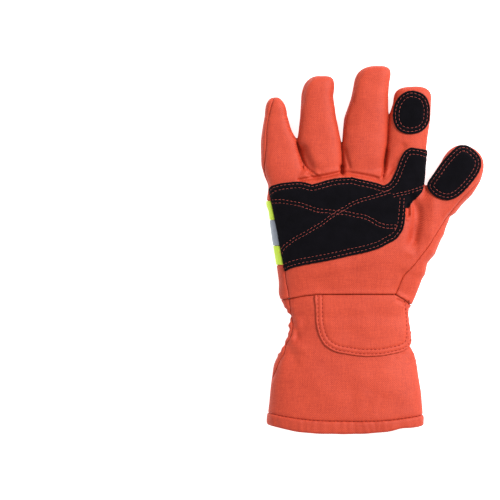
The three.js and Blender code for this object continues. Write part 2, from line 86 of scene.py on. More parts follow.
def smooth_curve(points, closed=False, step=CURVE_STEP):
    """Evenly spaced points on a smooth curve through the given ones."""
    points = np.asarray(points, float)
    count = len(points)
    index = np.arange(count + (1 if closed else 0))
    if closed:
        padded = points[np.arange(-1, count + 3) % count]
    else:
        padded = np.vstack([2 * points[0] - points[1], points, 2 * points[-1] - points[-2]])
    share = np.linspace(0, 1, SPAN_SAMPLES, endpoint=False)[:, None]
    pieces = []
    for i in index[:-1]:
        a, b, c, d = padded[i:i + 4]
        before, here, after = np.sqrt(np.linalg.norm(np.diff(padded[i:i + 4], axis=0), axis=1))
        start = (c - b) + here * ((b - a) / before - (c - a) / (before + here))
        stop = (c - b) + here * ((d - c) / after - (d - b) / (here + after))
        pieces.append(b + start * share
                      + (3 * (c - b) - 2 * start - stop) * share ** 2
                      + (2 * (b - c) + start + stop) * share ** 3)
    pieces.append(padded[index[-1] + 1][None])
    dense = np.vstack(pieces)
    length = np.r_[0, np.cumsum(np.linalg.norm(np.diff(dense, axis=0), axis=1))]
    stops = np.linspace(0, length[-1], max(4, int(length[-1] / step) + 1))
    return np.stack([np.interp(stops, length, dense[:, k]) for k in range(2)], axis=1)


# %% [markdown]
# Seams, folds and edges act on the cloth around them, so each place has to know how far it
# lies from a curve, and on which side of it.

# %% Distances on the drawing
def chain_distance(x, y, points):
    """Distance to a chain of segments."""
    best = np.full(x.shape, 1e9, np.float32)
    for (ax, ay), (bx, by) in zip(points[:-1], points[1:]):
        dx, dy = bx - ax, by - ay
        share = np.clip(((x - ax) * dx + (y - ay) * dy) / (dx * dx + dy * dy + 1e-9), 0, 1)
        best = np.minimum(best, np.hypot(x - ax - share * dx, y - ay - share * dy))
    return best


def is_inside(x, y, ring):
    """Whether places lie inside a closed chain: a ray to the right crosses it an odd number
    of times."""
    inside = np.zeros(x.shape, bool)
    for (ax, ay), (bx, by) in zip(ring, np.roll(ring, -1, axis=0)):
        if ay != by:
            crosses = (ay > y) != (by > y)
            inside ^= crosses & (x < (bx - ax) * (y - ay) / (by - ay) + ax)
    return inside


def region_distance(x, y, outline):
    """Distance to a closed outline, negative inside it."""
    best = chain_distance(x, y, np.vstack([outline, outline[:1]]))
    return np.where(is_inside(x, y, outline), -best, best)


def seam_distance(x, y, seam, far_side):
    """Distance to a seam, positive on the side where the far corners lie."""
    best = chain_distance(x, y, seam)
    return np.where(is_inside(x, y, np.vstack([seam, far_side])), best, -best)


# %% [markdown]
# ## Seams and outlines
# The palm is one panel. Its edge shows on the little finger and round the ball of the thumb,
# and it lies at half height everywhere else. The hand ends in a straight seam over the
# gathered wrist, with a small corner that stands out at the thumb side.

# %% Seams of the panels
LITTLE_SEAM = smooth_curve(drawn([
    (275, 90), (273.7, 99), (271.6, 105), (269.9, 112), (267.9, 122), (266.8, 132),
    (266.5, 144), (265.3, 157), (264.5, 169), (266.5, 178), (268, 183), (269.2, 192),
    (272.4, 205), (275.4, 219), (278, 230), (279.8, 241), (283, 259), (285, 271.5), (286.4, 283),
    (288.3, 292.6), (289.4, 303), (290.9, 312), (292.4, 320), (292.6, 327), (290.5, 337),
    (286, 345), (283.7, 354), (279, 362), (275.8, 371), (271, 381), (262, 395), (250, 440)]))
THUMB_SEAM = smooth_curve(drawn([
    (490, 168), (478.4, 182), (471.2, 189), (463.6, 196.6), (457.4, 203.5), (451.8, 210.4),
    (445.2, 218.6), (440.2, 226.7), (433.3, 237.6), (428.7, 245), (420, 256.6), (411.5, 267),
    (403, 276), (398, 287.5), (395, 295), (392, 330)]))
WRIST_SEAM = drawn([
    (150, 300), (280, 299.8), (289.4, 298.4), (296.3, 297.2), (303.8, 295.6), (315.3, 294.4),
    (345, 294.3), (394.7, 294.4), (403.9, 299.5), (409.6, 304), (412.2, 305.2), (500, 306)])
HEM_LINE = smooth_curve(drawn([
    (150, 411), (262, 412), (270.5, 413.2), (278, 414.8), (289.4, 416.8), (303.8, 418.6),
    (318, 419.8), (345, 420.4), (360.8, 420.6), (383.8, 419.8), (392.4, 419), (404, 417.6),
    (415.4, 416), (424, 414.6), (500, 413)]))
MOUTH_LINE = smooth_curve(drawn([
    (150, 422), (262, 423), (268.8, 424.6), (273.4, 425.6), (285, 428.3), (295, 430.3),
    (306.7, 431.8), (324, 432.6), (352, 432.9), (366.6, 432.3), (381, 431.5), (392.4, 429.9),
    (400, 428.3), (409.6, 427.2), (418.2, 426.4), (426, 425), (500, 423)]))
print("seam points", [len(seam) for seam in (LITTLE_SEAM, THUMB_SEAM, HEM_LINE, MOUTH_LINE)])

# %% [markdown]
# The suede patches and the cloth patch over the wrist are cut to closed outlines. The palm
# patch runs up the index finger and has a notch where the thumb bends.

# %% Outlines of the patches
PALM_TOP_EDGE = [
    (268.5, 188.8), (270.5, 186.5), (279, 183.6), (289.4, 182.2), (299.8, 181.6), (306.7, 183),
    (311.3, 184.2), (318, 182.8), (326.8, 180.2), (335.4, 178.3), (345, 177.6), (351, 177.3),
    (359.7, 179.3), (369.4, 181.3), (378, 183.6), (383.2, 185.1), (386.7, 183.9),
    (390.7, 180.2), (393, 175.6), (395.9, 168.7), (398.7, 161.2), (401, 156), (404.5, 150.9),
    (409.6, 148), (415.4, 148.3), (421, 149.2), (427.6, 150.9)]
PALM_THUMB_EDGE = [(426, 170), (423.8, 186), (422.8, 190), (420.6, 193.6), (416.5, 198),
                   (411.4, 203), (409.6, 206.6), (408.6, 208.2)]
PALM_LOW_EDGE = [
    (405.6, 208.4), (404.8, 217), (403.6, 225), (401.6, 231.3), (398, 236.5), (394.7, 240),
    (386.7, 244.2), (381, 247.4), (372.3, 250.6), (363.7, 253), (352, 255.4), (340.7, 258),
    (324, 261.5), (301, 265.8), (290.6, 268.6), (284.6, 271.5)]
PALM_SIDE_EDGE = [(283.6, 269.8), (282.2, 261), (280.6, 253), (278.5, 241.7), (276.6, 230.5),
                  (274.2, 219), (272.3, 208), (270.4, 200), (268.6, 192)]
PALM_PATCH = smooth_curve(drawn(
    PALM_TOP_EDGE + PALM_THUMB_EDGE + PALM_LOW_EDGE + PALM_SIDE_EDGE), closed=True, step=FINE_STEP)
INDEX_PATCH = smooth_curve(drawn([
    (411, 90.8), (418, 92), (424, 95.4), (428, 101), (429.8, 108), (429.8, 115), (428.8, 122),
    (425.6, 128), (420.6, 132.2), (413, 134.4), (405, 134.2), (398.4, 131), (394.2, 125.4),
    (392.4, 118), (392.8, 110), (395, 102.6), (399.2, 96.4), (404.6, 92.4)]),
    closed=True, step=FINE_STEP)
THUMB_PATCH = smooth_curve(drawn([
    (463, 144.8), (457.4, 146), (453.4, 149.2), (447.8, 154.8), (441.6, 162), (435.5, 170.6),
    (430.4, 177.8), (427.3, 183), (426.8, 186), (427.9, 190), (432, 195), (438, 198.7),
    (445.7, 200.5), (452.3, 199.4), (458.5, 196), (465, 190), (471.2, 183), (476.3, 176.2),
    (479.4, 170.6), (481, 164.5), (480.4, 159), (478, 154.3), (473.3, 149.7), (468.2, 146)]),
    closed=True, step=FINE_STEP)
WRIST_PATCH_EDGE = [
    (315, 292.6), (315.3, 308.7), (315.6, 320), (317, 328.8), (319.3, 336.3), (322.7, 342.6),
    (326.8, 346.6), (332.5, 350), (338, 352), (346.5, 353.5), (359.7, 355.5), (369.4, 355.8),
    (381, 355.2), (392.4, 353.2), (402.7, 350.6), (409, 346.3), (412.4, 340), (413, 326),
    (412, 312), (411, 300)]
WRIST_PATCH = smooth_curve(drawn(
    WRIST_PATCH_EDGE + [(404.6, 296), (396, 293), (360, 292.4), (330, 292.4)]),
    closed=True, step=FINE_STEP)
print("palm patch outline", len(PALM_PATCH), "points")

# %% [markdown]
# ## The forms
# Under the cloth the glove is a few soft tubes: the hand with its cuff, four fingers and the
# thumb. Each is a table of sections along a straight line, with the reach to both sides and
# the lowest and highest point. Every section is a rounded rectangle between a circle and a
# box. Past the last section the tip rounds off, and its four numbers are its length, the
# shape of its left and right shoulder, and how far it leans to the right. Such a table can be
# measured from a picture row by row.

# %% Tables of sections: along, left, right, bottom, top, all in millimetres
HAND = {"root": (0, 0), "lean": 0, "round": 2.7, "tip": (11.8, 2, 2, 0), "rows": [
    (-118.8, 59.8, 60.4, 0, 31), (-91.8, 60.2, 60.6, 0, 31), (-77.8, 58.7, 59.6, 0, 30.4),
    (-63.7, 56.9, 57.2, 0, 29.2), (-54, 55.8, 56.0, 0.2, 27.6), (-45.4, 51.6, 54.4, 1.5, 26.5),
    (-38.9, 48.3, 50.6, 3.2, 26.1), (-31, 44, 51, 3.6, 25.4), (-23.8, 44.8, 49.4, 3.6, 25.2),
    (-17, 43.8, 48.3, 3.6, 24.2), (-12.2, 46, 48.2, 3.2, 24.5), (-6.5, 49, 52.6, 2.4, 24.2),
    (0, 51.8, 55.4, 1.2, 24.7), (9.1, 51.4, 59.2, 0, 25.6), (25.5, 53.8, 63.8, 0, 27),
    (39.1, 56, 65.8, 0, 27), (53.7, 58.2, 66.6, 0, 26.5), (67.3, 59.4, 64.7, 0, 25.6),
    (81.9, 59.4, 61.6, 0, 24.3), (87.8, 58, 59.8, 0, 22.1)]}
LITTLE = {"root": (-45.6, 91), "lean": 0, "round": 3.1, "tip": (14.2, 2.6, 1.8, 0.4), "rows": [
    (-18.9, 14.7, 16.8, 0, 17.1), (-8, 12.4, 17.2, 0, 17.4), (-4.4, 14.4, 17.4, 0, 17.6),
    (0, 17, 17.7, 0, 18), (9.4, 19.8, 14.2, 0, 18.4), (28.4, 20.1, 8.9, 0, 18),
    (37.2, 19.1, 3.7, 0, 17.1), (49.1, 17.1, 0.4, 0, 15.3)]}
RING = {"root": (-16.3, 91), "lean": 0, "round": 3.1, "tip": (15.8, 2.4, 3.8, 2.0), "rows": [
    (-20, 13.8, 15.2, 0, 19), (0, 15.5, 15.5, 0, 19.2), (12.8, 18.5, 14.7, 0, 20.6),
    (28, 21, 13.5, 0, 20.4), (46.8, 18.7, 9.6, 0, 19.6), (64, 17.9, 7.5, 0, 18.4)]}
MIDDLE = {"root": (13.9, 91), "lean": 0, "round": 3.1, "tip": (12.6, 2.3, 3.6, 2.4), "rows": [
    (-19.1, 15.5, 15.5, 0, 19.9), (0, 16.2, 16.2, 0, 19.7), (13.9, 15.7, 17.8, 0, 21.4),
    (27.8, 16, 20, 0, 21.4), (47, 14.5, 20, 0, 20.6), (62.6, 9, 19.8, 0, 19.9),
    (74.8, 6.8, 20.9, 0, 18.9)]}
INDEX = {"root": (45.4, 91), "lean": 0, "round": 3.1, "tip": (12.1, 3.2, 2.8, 1.2), "rows": [
    (-17.8, 16.5, 13, 0, 19), (0, 16.5, 15.2, 0, 19.6), (18.5, 14.4, 17.8, 0, 20),
    (28.4, 13.2, 18.8, 0, 20), (46.9, 11.7, 21.3, 0, 19.6), (58.9, 7.8, 21.9, 0, 18.4)]}
THUMB = {"root": (67.2, 62.8), "lean": 28, "round": 2.4, "tip": (21.3, 2.3, 2.3, -1), "rows": [
    (-43.9, 17.6, 14.6, 0, 22), (-21.3, 17.6, 17, 0, 22.4), (0, 14.8, 14.8, 0, 22),
    (18.3, 13, 18.1, 0, 21.6), (27.4, 13.3, 21.2, 0, 21.6), (39.6, 12.1, 22.1, 0, 20.9)]}
FINGERS = [LITTLE, RING, MIDDLE, INDEX]
print("sections", [len(form["rows"]) for form in (HAND, *FINGERS, THUMB)])

# %% [markdown]
# ## Distance fields
# A soft form is easiest to shape as a field: a number at every point of a grid that is
# negative inside the cloth and grows outside it. Fields can be joined, cut, grown and pressed
# in with plain arithmetic, and the surface is where the number is zero. A smooth minimum
# joins two forms with a rounded valley, and a smooth maximum cuts one by another and leaves a
# rounded edge, as turned cloth has.

# %% Joining and cutting fields
TURN = 2 * math.pi


def smooth_min(a, b, size):
    share = np.clip(0.5 + 0.5 * (b - a) / size, 0, 1)
    return b + (a - b) * share - size * share * (1 - share)


def smooth_max(a, b, size):
    return -smooth_min(-a, -b, size)


def ramp(value, start, end):
    """From 0 to 1 between two values, with soft ends."""
    share = np.clip((value - start) / (end - start), 0, 1)
    return share * share * (3 - 2 * share)


# %% [markdown]
# A form's table is turned into a field in three steps. Its sections are blended along the
# form, the outline on the ground plan comes next, with its rounded tip, and the height closes
# it over and under. Where a section rests on the ground it is made a little deeper, so that
# the ground flattens it.

# %% One form as a field
ROW_STEP, BLEND_REACH = 0.5, 12  # steps along a form, and how many of them a blend takes in
SOFTEN = 1.8  # how far along a form its sections are blended
RESTING, SETTLE = 1.5, 2.0  # sections that start lower than this rest, and sink in this far
START_LENGTH = 8  # the near end is hidden in the hand, and rounds off over this length
SHOULDER_TURN = (-0.4, 0.3)  # where on a tip its left shape turns into its right one
TINY = 1e-4  # keeps powers away from zero


def blended_rows(rows):
    """The places along a form, and its sections there as smooth columns."""
    places = np.arange(rows[0, 0], rows[-1, 0] + ROW_STEP, ROW_STEP)
    kernel = np.exp(-0.5 * (np.arange(-BLEND_REACH, BLEND_REACH + 1) * ROW_STEP / SOFTEN) ** 2)
    kernel /= kernel.sum()
    columns = [np.pad(np.interp(places, rows[:, 0], rows[:, k]), BLEND_REACH, "reflect",
                      reflect_type="odd") for k in range(1, 5)]
    return places, [np.convolve(column, kernel, "valid") for column in columns]


def form_field(form, x, y, z):
    """Rough distance to one form on a grid, and its half height on the ground plan."""
    places, columns = blended_rows(np.array(form["rows"], float))
    turn = math.radians(form["lean"])
    root = np.array(form["root"]) + SEAM_ORIGIN
    dx, dy = x - root[0], y - root[1]
    along = dx * math.sin(turn) + dy * math.cos(turn)
    across = dx * math.cos(turn) - dy * math.sin(turn)
    left, right, bottom, top = [np.interp(along, places, c).astype(np.float32) for c in columns]
    tip_length, left_shape, right_shape, tip_side = form["tip"]
    past = np.clip((along - places[-1]) / tip_length, 0, 3)
    before = np.clip((places[0] - along) / START_LENGTH, 0, 3)
    end = np.maximum(past, before).astype(np.float32)
    centre = (right - left) / 2 + tip_side * np.minimum(past, 1)
    half = (left + right) / 2
    low = bottom - SETTLE * (bottom < RESTING)
    middle, high = (top + low) / 2, (top - low) / 2
    n, p = form["round"], left_shape + (right_shape - left_shape) * ramp(
        (across - centre) / half, *SHOULDER_TURN)
    u = (np.abs(across - centre) / half).astype(np.float32) + TINY
    t = end + TINY
    plan = (u ** p + t ** p) ** (1 / p)
    plan_slope = ((u / plan) ** (p - 1) / half) ** 2 + ((t / plan) ** (p - 1) / tip_length) ** 2
    plan, plan_slope = plan[:, :, None], plan_slope[:, :, None]
    v = np.abs(z[None, None, :] - middle[:, :, None]) / high[:, :, None]
    v = v.astype(np.float32) + TINY
    whole = (plan ** n + v ** n) ** (1 / n)
    gradient = np.sqrt((plan / whole) ** (2 * n - 2) * plan_slope
                       + ((v / whole) ** (n - 1) / high[:, :, None]) ** 2)
    return (whole - 1) / gradient, middle


# %% [markdown]
# ## Folds, dents and creases
# Padded cloth creases where fingers meet the palm, folds where the thumb bends and puckers
# along seams. Each fold is a curve on the drawing with a depth and a width. A narrow deep one
# reads as a dark line, and a wide shallow one as a soft hollow. A negative depth raises a
# welt. Every fold fades out towards its last point.

# %% Folds on the palm side: points, depth, width
FOLDS = [
    ([(299, 180.5), (308, 178.8), (320, 177.2), (332, 174.8), (341, 172.6), (346, 171.4)],
     3.0, 1.4),
    ([(343, 172.8), (352, 174), (364, 176), (375, 178.4), (382, 181)], 2.5, 1.6),
    ([(297, 143), (300, 152), (303.5, 161), (307.5, 168.5), (313, 173), (319, 177)], 1.6, 0.8),
    ([(303, 150), (307, 160), (311, 168), (317, 174)], 2.8, 3.4),
    ([(308, 174), (314, 178), (322, 178)], 1.6, 1.6),
    ([(303, 170), (300, 174), (294, 178)], 0.4, 1.8),
    ([(341.8, 167), (342, 171), (342.4, 177)], 4.5, 1.3),
    ([(345, 150), (347.4, 160), (350.4, 171)], 1.2, 1.2),
    ([(387, 150), (385.4, 160), (384.6, 170), (380.6, 183)], 1.8, 1.3),
    ([(403, 147), (395, 159), (386, 176)], 1.5, 2.6),
    ([(398, 163), (391, 171), (383, 181)], 0.9, 1.6),
    ([(409.5, 197), (414, 206), (416.4, 213), (416, 225), (413, 238), (409.4, 254)], 3.8, 4.0),
    ([(406.8, 205), (407.3, 212), (406.8, 219.5)], 4.0, 1.9),
    ([(413.6, 205), (413.4, 213), (411.5, 221)], 0.6, 1.3),
    ([(468.5, 187.5), (449, 209), (437.5, 226), (426, 245), (409, 266), (400, 276)], -0.6, 2.4),
    ([(411, 224), (414, 234), (413, 246)], 1.2, 3.6),
    ([(432, 205), (433, 218), (430, 232), (423, 247)], -1.2, 4.6),
    ([(411.4, 206), (411.2, 213), (409.6, 220)], -0.8, 1.5),
    ([(289, 316), (292.5, 321), (296, 330), (298, 342)], 1.1, 2.0),
    ([(291, 338), (296, 327), (302, 314)], -0.8, 2.4),
    ([(293, 342), (301, 331), (309, 318)], 0.5, 2.8),
    ([(291, 341), (299, 347), (309, 352)], -0.6, 3.2),
    ([(288, 346), (293, 356), (297, 370)], 0.7, 3.4),
    ([(284, 352), (283, 366), (280, 385)], -0.6, 3.2),
    ([(371, 392), (367, 405), (365.5, 419)], 0.45, 4.2),
    ([(382, 398), (378, 408), (376, 419)], 0.35, 3.6),
    ([(352, 390), (351, 404), (350, 418)], 0.35, 4.0),
    ([(355, 106), (351, 118), (347, 132)], 0.8, 6.0),
    ([(311.5, 78.5), (306.6, 85), (304.2, 93), (303, 106)], 0.8, 1.1),
    ([(362, 72), (357, 82), (354.4, 92), (352.6, 106)], 0.5, 1.1),
    ([(331, 84), (332.5, 96), (333, 112)], 0.5, 3.0),
    ([(397, 300), (404, 303), (409, 306)], 0.8, 1.4),
    ([(413, 344), (406, 351), (398, 356)], 0.9, 3.0),
    ([(402, 262), (392, 274), (386, 288)], 0.5, 5.0),
    ([(300, 274), (330, 270), (362, 262)], -0.35, 4.5),
    ([(288, 386), (320, 372), (340, 366)], 0.3, 8.0),
    ([(330, 386), (360, 378), (400, 380)], -0.3, 9.0),
]
print("folds", len(FOLDS))

# %% [markdown]
# The thumb's outer side isn't a plain line. The seam draws the cloth in at two notches, and it
# swells between them. These reach over the whole height of the side, and the other folds only
# over the top.

# %% Notches and swells of the thumb's outer side, from top to bottom
SIDE_FOLDS = [
    ([(455, 219.4), (450, 217)], 1.4, 2.8), ([(448, 236), (443, 234)], -0.7, 3.8),
    ([(437, 255.5), (432, 253)], -0.9, 3.4), ([(430, 265), (426, 262.6)], 0.7, 2.6),
    ([(428, 275.5), (423, 273)], -1.0, 3.8),
]

# %% [markdown]
# No cloth is even. A few sine waves of random direction and length, added up, give soft
# swells that never repeat. The seed is fixed, so they are the same in every run.

# %% Soft random swells
WAVES = 9


def drift(x, y, size, seed):
    """Soft random swells and hollows of a given size, between about -1 and 1."""
    source = np.random.default_rng(seed)
    total = np.zeros(x.shape, np.float32)
    for _ in range(WAVES):
        angle = source.uniform(0, TURN)
        wave = TURN / (size * source.uniform(0.7, 1.5))
        total += np.sin(wave * (x * math.cos(angle) + y * math.sin(angle))
                        + source.uniform(0, 6.28))
    return total / (WAVES / 2)


# %% [markdown]
# ## The whole glove as one field
# The index and little fingers and the thumb grow out of the hand with soft valleys. The ring
# and middle fingers are set behind a crease. Neighbouring fingers are separate tubes, so a
# narrow slit follows the line where both are equally near.

# %% Joining the hand, the fingers and the thumb
JOINS = [(3, 7), (0, 5), (4, 5), (1, 2.4), (2, 1.6)]  # which tube, and the size of its valley
SLIT_WIDTH, SLIT_DEPTH = 0.935, 2.0
SLANTS = [0.3, -0.25, 0.3]  # neighbours lean on each other, so no slit is upright
SLANT_HEIGHT = 15  # where a slanted slit crosses its upright line
WEB_ROWS = [171.5, 174.5, 180.5]  # where the slits end, on the drawing
WEB_LENGTH = 5  # rows over which a slit fades in
CLOSED_HEIGHT = 10  # the slits stay shut round this height, so that no light shines through
NEAR = 5  # a slit is cut only where both fingers are this near


def level(plan):
    """A flat plan repeated up the grid."""
    return plan[:, :, None]


def joined_forms(x, y, z):
    """The plain glove without folds, and the height of its middle on the plan."""
    hand, hand_middle = form_field(HAND, x, y, z)
    tubes, middles = zip(*[form_field(form, x, y, z) for form in (*FINGERS, THUMB)])
    whole = hand
    for tube, valley in JOINS:
        whole = smooth_min(whole, tubes[tube], valley)
    for i, row in enumerate(WEB_ROWS):
        slant = SLANTS[i] * (z[None, None, :] - SLANT_HEIGHT)
        near = np.abs(tubes[i] - tubes[i + 1] + slant) / SLIT_WIDTH
        above = level(ramp(y, *drawn([(0, row), (0, row - WEB_LENGTH)])[:, 1])) * ramp(
            np.abs(z - CLOSED_HEIGHT), 2, 5)[None, None, :]
        both = np.maximum(tubes[i], tubes[i + 1]) < NEAR
        whole += above * both * SLIT_DEPTH * np.exp(-near ** 2)
    weights = [np.exp(-np.clip(field.min(axis=2), -8, 40) / 3) for field in (hand, *tubes)]
    middle = sum(w * m for w, m in zip(weights, (hand_middle, *middles))) / sum(weights)
    return whole, middle


# %% [markdown]
# The seams say which panel a place belongs to. The palm reaches as far as the seams on the
# little finger and the thumb, and down to half height. The cuff has the first seam only.

# %% Seams as fields
FAR = 400.0  # well outside the glove
SEAM_ROUND = 2.0  # how softly a seam turns from the side to the top


def mark_seams(grid):
    """Signed distances to the seams, for every place of a grid."""
    x, y = grid.x, grid.y
    up = [(FAR, FAR), (-FAR, FAR)]
    grid.wrist = seam_distance(x, y, WRIST_SEAM, up)
    grid.hem = seam_distance(x, y, HEM_LINE, up)
    grid.mouth = seam_distance(x, y, MOUTH_LINE, up)
    little = seam_distance(x, y, LITTLE_SEAM, [(FAR, -FAR), (FAR, FAR)])
    thumb = seam_distance(x, y, THUMB_SEAM, [(-FAR, -FAR), (-FAR, FAR), (FAR, FAR)])
    grid.height = grid.z[None, None, :] - level(grid.middle)
    grid.palm = smooth_min(grid.height, level(np.minimum(little, thumb)), SEAM_ROUND)
    grid.cuff_palm = smooth_min(grid.height, level(little), SEAM_ROUND)


# %% [markdown]
# Pressing a fold in means adding its depth to the field, because the surface then moves
# inwards. A fold could be sculpted by hand, but a curve with a depth and a width can be set
# closer to the drawing and looks the same on every grid. The palm side gets the drawn folds
# and soft swells, and the thumb's side its notches.

# %% Depth of the folds
def drawn_folds(x, y):
    """Depth of the folds on the palm side."""
    folds = np.zeros(x.shape, np.float32)
    for points, depth, width in FOLDS:
        curve = smooth_curve(drawn(points), step=1.5)
        distance = chain_distance(x, y, curve)
        fade = min(3 * width, 0.35 * math.dist(curve[0], curve[-1]))
        fading = ramp(np.hypot(x - curve[-1, 0], y - curve[-1, 1]), 0, fade)
        folds += depth * fading * np.exp(-(distance / width) ** 2)
    return folds + (0.28 * drift(x, y, 34, 3) + 0.12 * drift(x, y, 15, 5))


def side_folds(x, y):
    """Depth of the notches on the thumb's outer side, less that of the swells."""
    sides = np.zeros(x.shape, np.float32)
    for points, depth, width in SIDE_FOLDS:
        sides += depth * np.exp(-(chain_distance(x, y, drawn(points)) / width) ** 2)
    return sides


# %% [markdown]
# The back gets the gathers of the wrist, which are ribs and rows drawn up by elastic, and the
# seams are drawn in all round. The glove rests on the ground, which flattens it from below.

# %% Folds, gathers and seams pressed in
TOP_HEIGHTS = (-1, 4)  # the drawn folds fade in between these heights over the middle
LAP_DEPTH, LAP_WIDTH = 1.0, 4.0  # the cuff is drawn in where the hand's cloth laps over it
HEM_DEPTH, HEM_WIDTH = 0.3, 1.4
GATHER_ROWS, GATHER_DEPTH = (14, 23, 32), 0.9  # lines of elastic below the wrist seam
RIB_PITCH, PUCKER_PITCH = 6.4, 5.2
SEAM_DEPTH, SEAM_WIDTH, PUCKER_DEPTH = 0.45, 1.3, 0.45


def pressed(grid, plain):
    """The plain form with its folds, gathers and puckers, flattened by the ground."""
    x, y, wrist = grid.x, grid.y, grid.wrist
    folds = drawn_folds(x, y)
    folds += ramp(-wrist, -0.4, 0.4) * LAP_DEPTH * np.exp(-(wrist / LAP_WIDTH) ** 2)
    folds += HEM_DEPTH * np.exp(-(grid.hem / HEM_WIDTH) ** 2)
    gathered = ramp(wrist, -52, -38) * (1 - ramp(wrist, -9, -1))
    ribs = np.cos(TURN * (x + 1.3 * np.sin(y / 9)) / RIB_PITCH + 0.8 * drift(x, y, 40, 17))
    rows = sum(np.exp(-((wrist + place) / 1.6) ** 2) for place in GATHER_ROWS)
    back = 0.22 * drift(x, y, 30, 11) + gathered * (
        GATHER_DEPTH + GATHER_DEPTH * ribs + GATHER_DEPTH * rows)
    pucker = gathered * np.cos(TURN * y / PUCKER_PITCH + 1.2 * np.sin(y / 7))
    pucker *= 1 - 0.65 * ramp(x, 10, 25)
    edge = np.where(level(wrist) > 0, grid.palm, grid.cuff_palm)
    top = ramp(grid.height, *TOP_HEIGHTS)
    press = (top * level(folds) + (1 - top) * level(back)
             + SEAM_DEPTH * np.exp(-(edge / SEAM_WIDTH) ** 2)
             + PUCKER_DEPTH * np.exp(-(grid.height / 5) ** 2) * level(pucker)
             + level(side_folds(x, y)))
    return smooth_max(plain + press, -grid.z[None, None, :], 1.6)


# %% [markdown]
# All these fields live on one grid. A small part of the glove can have a finer grid of its
# own, and gets the same shapes, because every field depends on the place alone.

# %% Grid with the glove's fields
class Glove:
    """Fields of the glove on a grid between two corners, in millimetres."""

    def __init__(self, low, high, voxel):
        self.low, self.voxel = np.array(low, float), voxel
        counts = np.ceil((np.array(high) - self.low) / voxel).astype(int) + 1
        axes = [self.low[k] + voxel * np.arange(counts[k]) for k in range(3)]
        self.x, self.y = np.meshgrid(axes[0], axes[1], indexing="ij")
        self.x, self.y = self.x.astype(np.float32), self.y.astype(np.float32)
        self.z = axes[2].astype(np.float32)
        plain, self.middle = joined_forms(self.x, self.y, self.z)
        mark_seams(self)
        self.body = pressed(self, plain)


# %% [markdown]
# ## From a field to a mesh
# OpenVDB, which comes with Blender, walks the grid and puts a quad wherever the field changes
# sign. The result is closed and its faces point outwards. A cut may leave small crumbs, and
# they are found by giving every point the lowest number that it is joined to, and dropped.

# %% Dropping crumbs
CRUMB_SHARE = 0.02  # a shell with a smaller share of the points is a crumb


def kept_quads(points, quads):
    """Quads without loose crumbs: only shells that hold a fair share of the points stay."""
    label = np.arange(len(points))
    edges = np.vstack([quads[:, [0, 1]], quads[:, [1, 2]], quads[:, [2, 3]]])
    while True:
        low = np.minimum(label[edges[:, 0]], label[edges[:, 1]])
        fresh = label.copy()
        np.minimum.at(fresh, edges[:, 0], low)
        np.minimum.at(fresh, edges[:, 1], low)
        fresh = fresh[fresh]
        if (fresh == label).all():
            break
        label = fresh
    counts = np.bincount(label, minlength=len(points))
    return quads[counts[label[quads[:, 0]]] > CRUMB_SHARE * len(points)]


# %% [markdown]
# The mesh is shaded smooth, and each vertex keeps a pair of lengths along the cloth. Down the
# sides the length across goes on with the height, so the weave follows the surface there.

# %% Field to mesh
BAND = 5.0  # the field is only needed this near to the surface
HALF_HEIGHT, TOP_HEIGHT = 12.0, 25.0  # where the sides turn under, and the palm's level
SIDE_REACH = 45  # how far from the middle line the cloth hangs straight down


def mesh_of(name, field, grid):
    """A closed mesh where the field is zero, with the cloth's own lengths on its points."""
    volume = openvdb.FloatGrid(BAND)
    volume.copyFromArray(np.ascontiguousarray(np.clip(field, -BAND, BAND), dtype=np.float32))
    points, quads = volume.convertToQuads(isovalue=0.0)
    quads = kept_quads(points, quads.astype(np.int64))
    used, quads = np.unique(quads, return_inverse=True)
    quads = quads.reshape(-1, 4)
    points = points[used] * grid.voxel + grid.low
    mesh = bpy.data.meshes.new(name)
    mesh.vertices.add(len(points))
    mesh.loops.add(len(quads) * 4)
    mesh.polygons.add(len(quads))
    mesh.vertices.foreach_set("co", (points * METRE).astype(np.float32).ravel())
    mesh.loops.foreach_set("vertex_index", quads.astype(np.int32).ravel())
    mesh.polygons.foreach_set("loop_start", np.arange(len(quads), dtype=np.int32) * 4)
    mesh.polygons.foreach_set("use_smooth", np.ones(len(quads), bool))
    mesh.update(calc_edges=True)
    x, along, z = points.T
    lean = np.clip((x - SEAM_ORIGIN[0]) / SIDE_REACH, -1, 1)
    across = x - lean * np.where(z > HALF_HEIGHT, z - TOP_HEIGHT, -z)
    cloth = mesh.attributes.new("cloth", "FLOAT_VECTOR", "POINT")
    values = np.stack([across, along, z], axis=1) * METRE
    cloth.data.foreach_set("vector", values.astype(np.float32).ravel())
    piece = bpy.data.objects.new(name, mesh)
    bpy.context.scene.collection.objects.link(piece)
    print(f"{name}: {len(points)} points, {len(quads)} quads")
    return piece


# %% [markdown]
# The grid of the whole glove takes in the cloth and a little air round it. Its step decides
# how fine a fold can be, and how long the script takes.

# %% Build the field of the whole glove
VOXEL = 0.85
glove = Glove((-91, -147, -4), (91, 147, 36), VOXEL)
print("grid", glove.body.shape)

# %% [markdown]
# ## Cloth panels
# A shell of the field is the padded wall. Cutting it along the seams with a smooth maximum
# gives four panels with turned edges and a fine dark line between them. The hand's cloth laps
# over the gathered wrist, so its lower edge is raised a little. Under the tape the back is
# pressed in by the tape's thickness, so that the tape lies flush. The tape's place comes
# first, therefore: it is a common trim of 15 mm yellow, 20 mm silver and 15 mm yellow.

# %% The tape's place
TAPE_THICK = 0.8
TAPE_LOW, SILVER_LOW, SILVER_HIGH, TAPE_HIGH = np.array([23, 38, 58, 73]) + SEAM_ORIGIN[1]
HAND_WIDTH, TAPE_REACH = 121, 0.355  # the tape ends this share of the hand's width from its middle
TAPE_INNER_END = TAPE_REACH * HAND_WIDTH + SEAM_ORIGIN[0]
TAPE_PLAY = 0.15  # between the tape and its bed


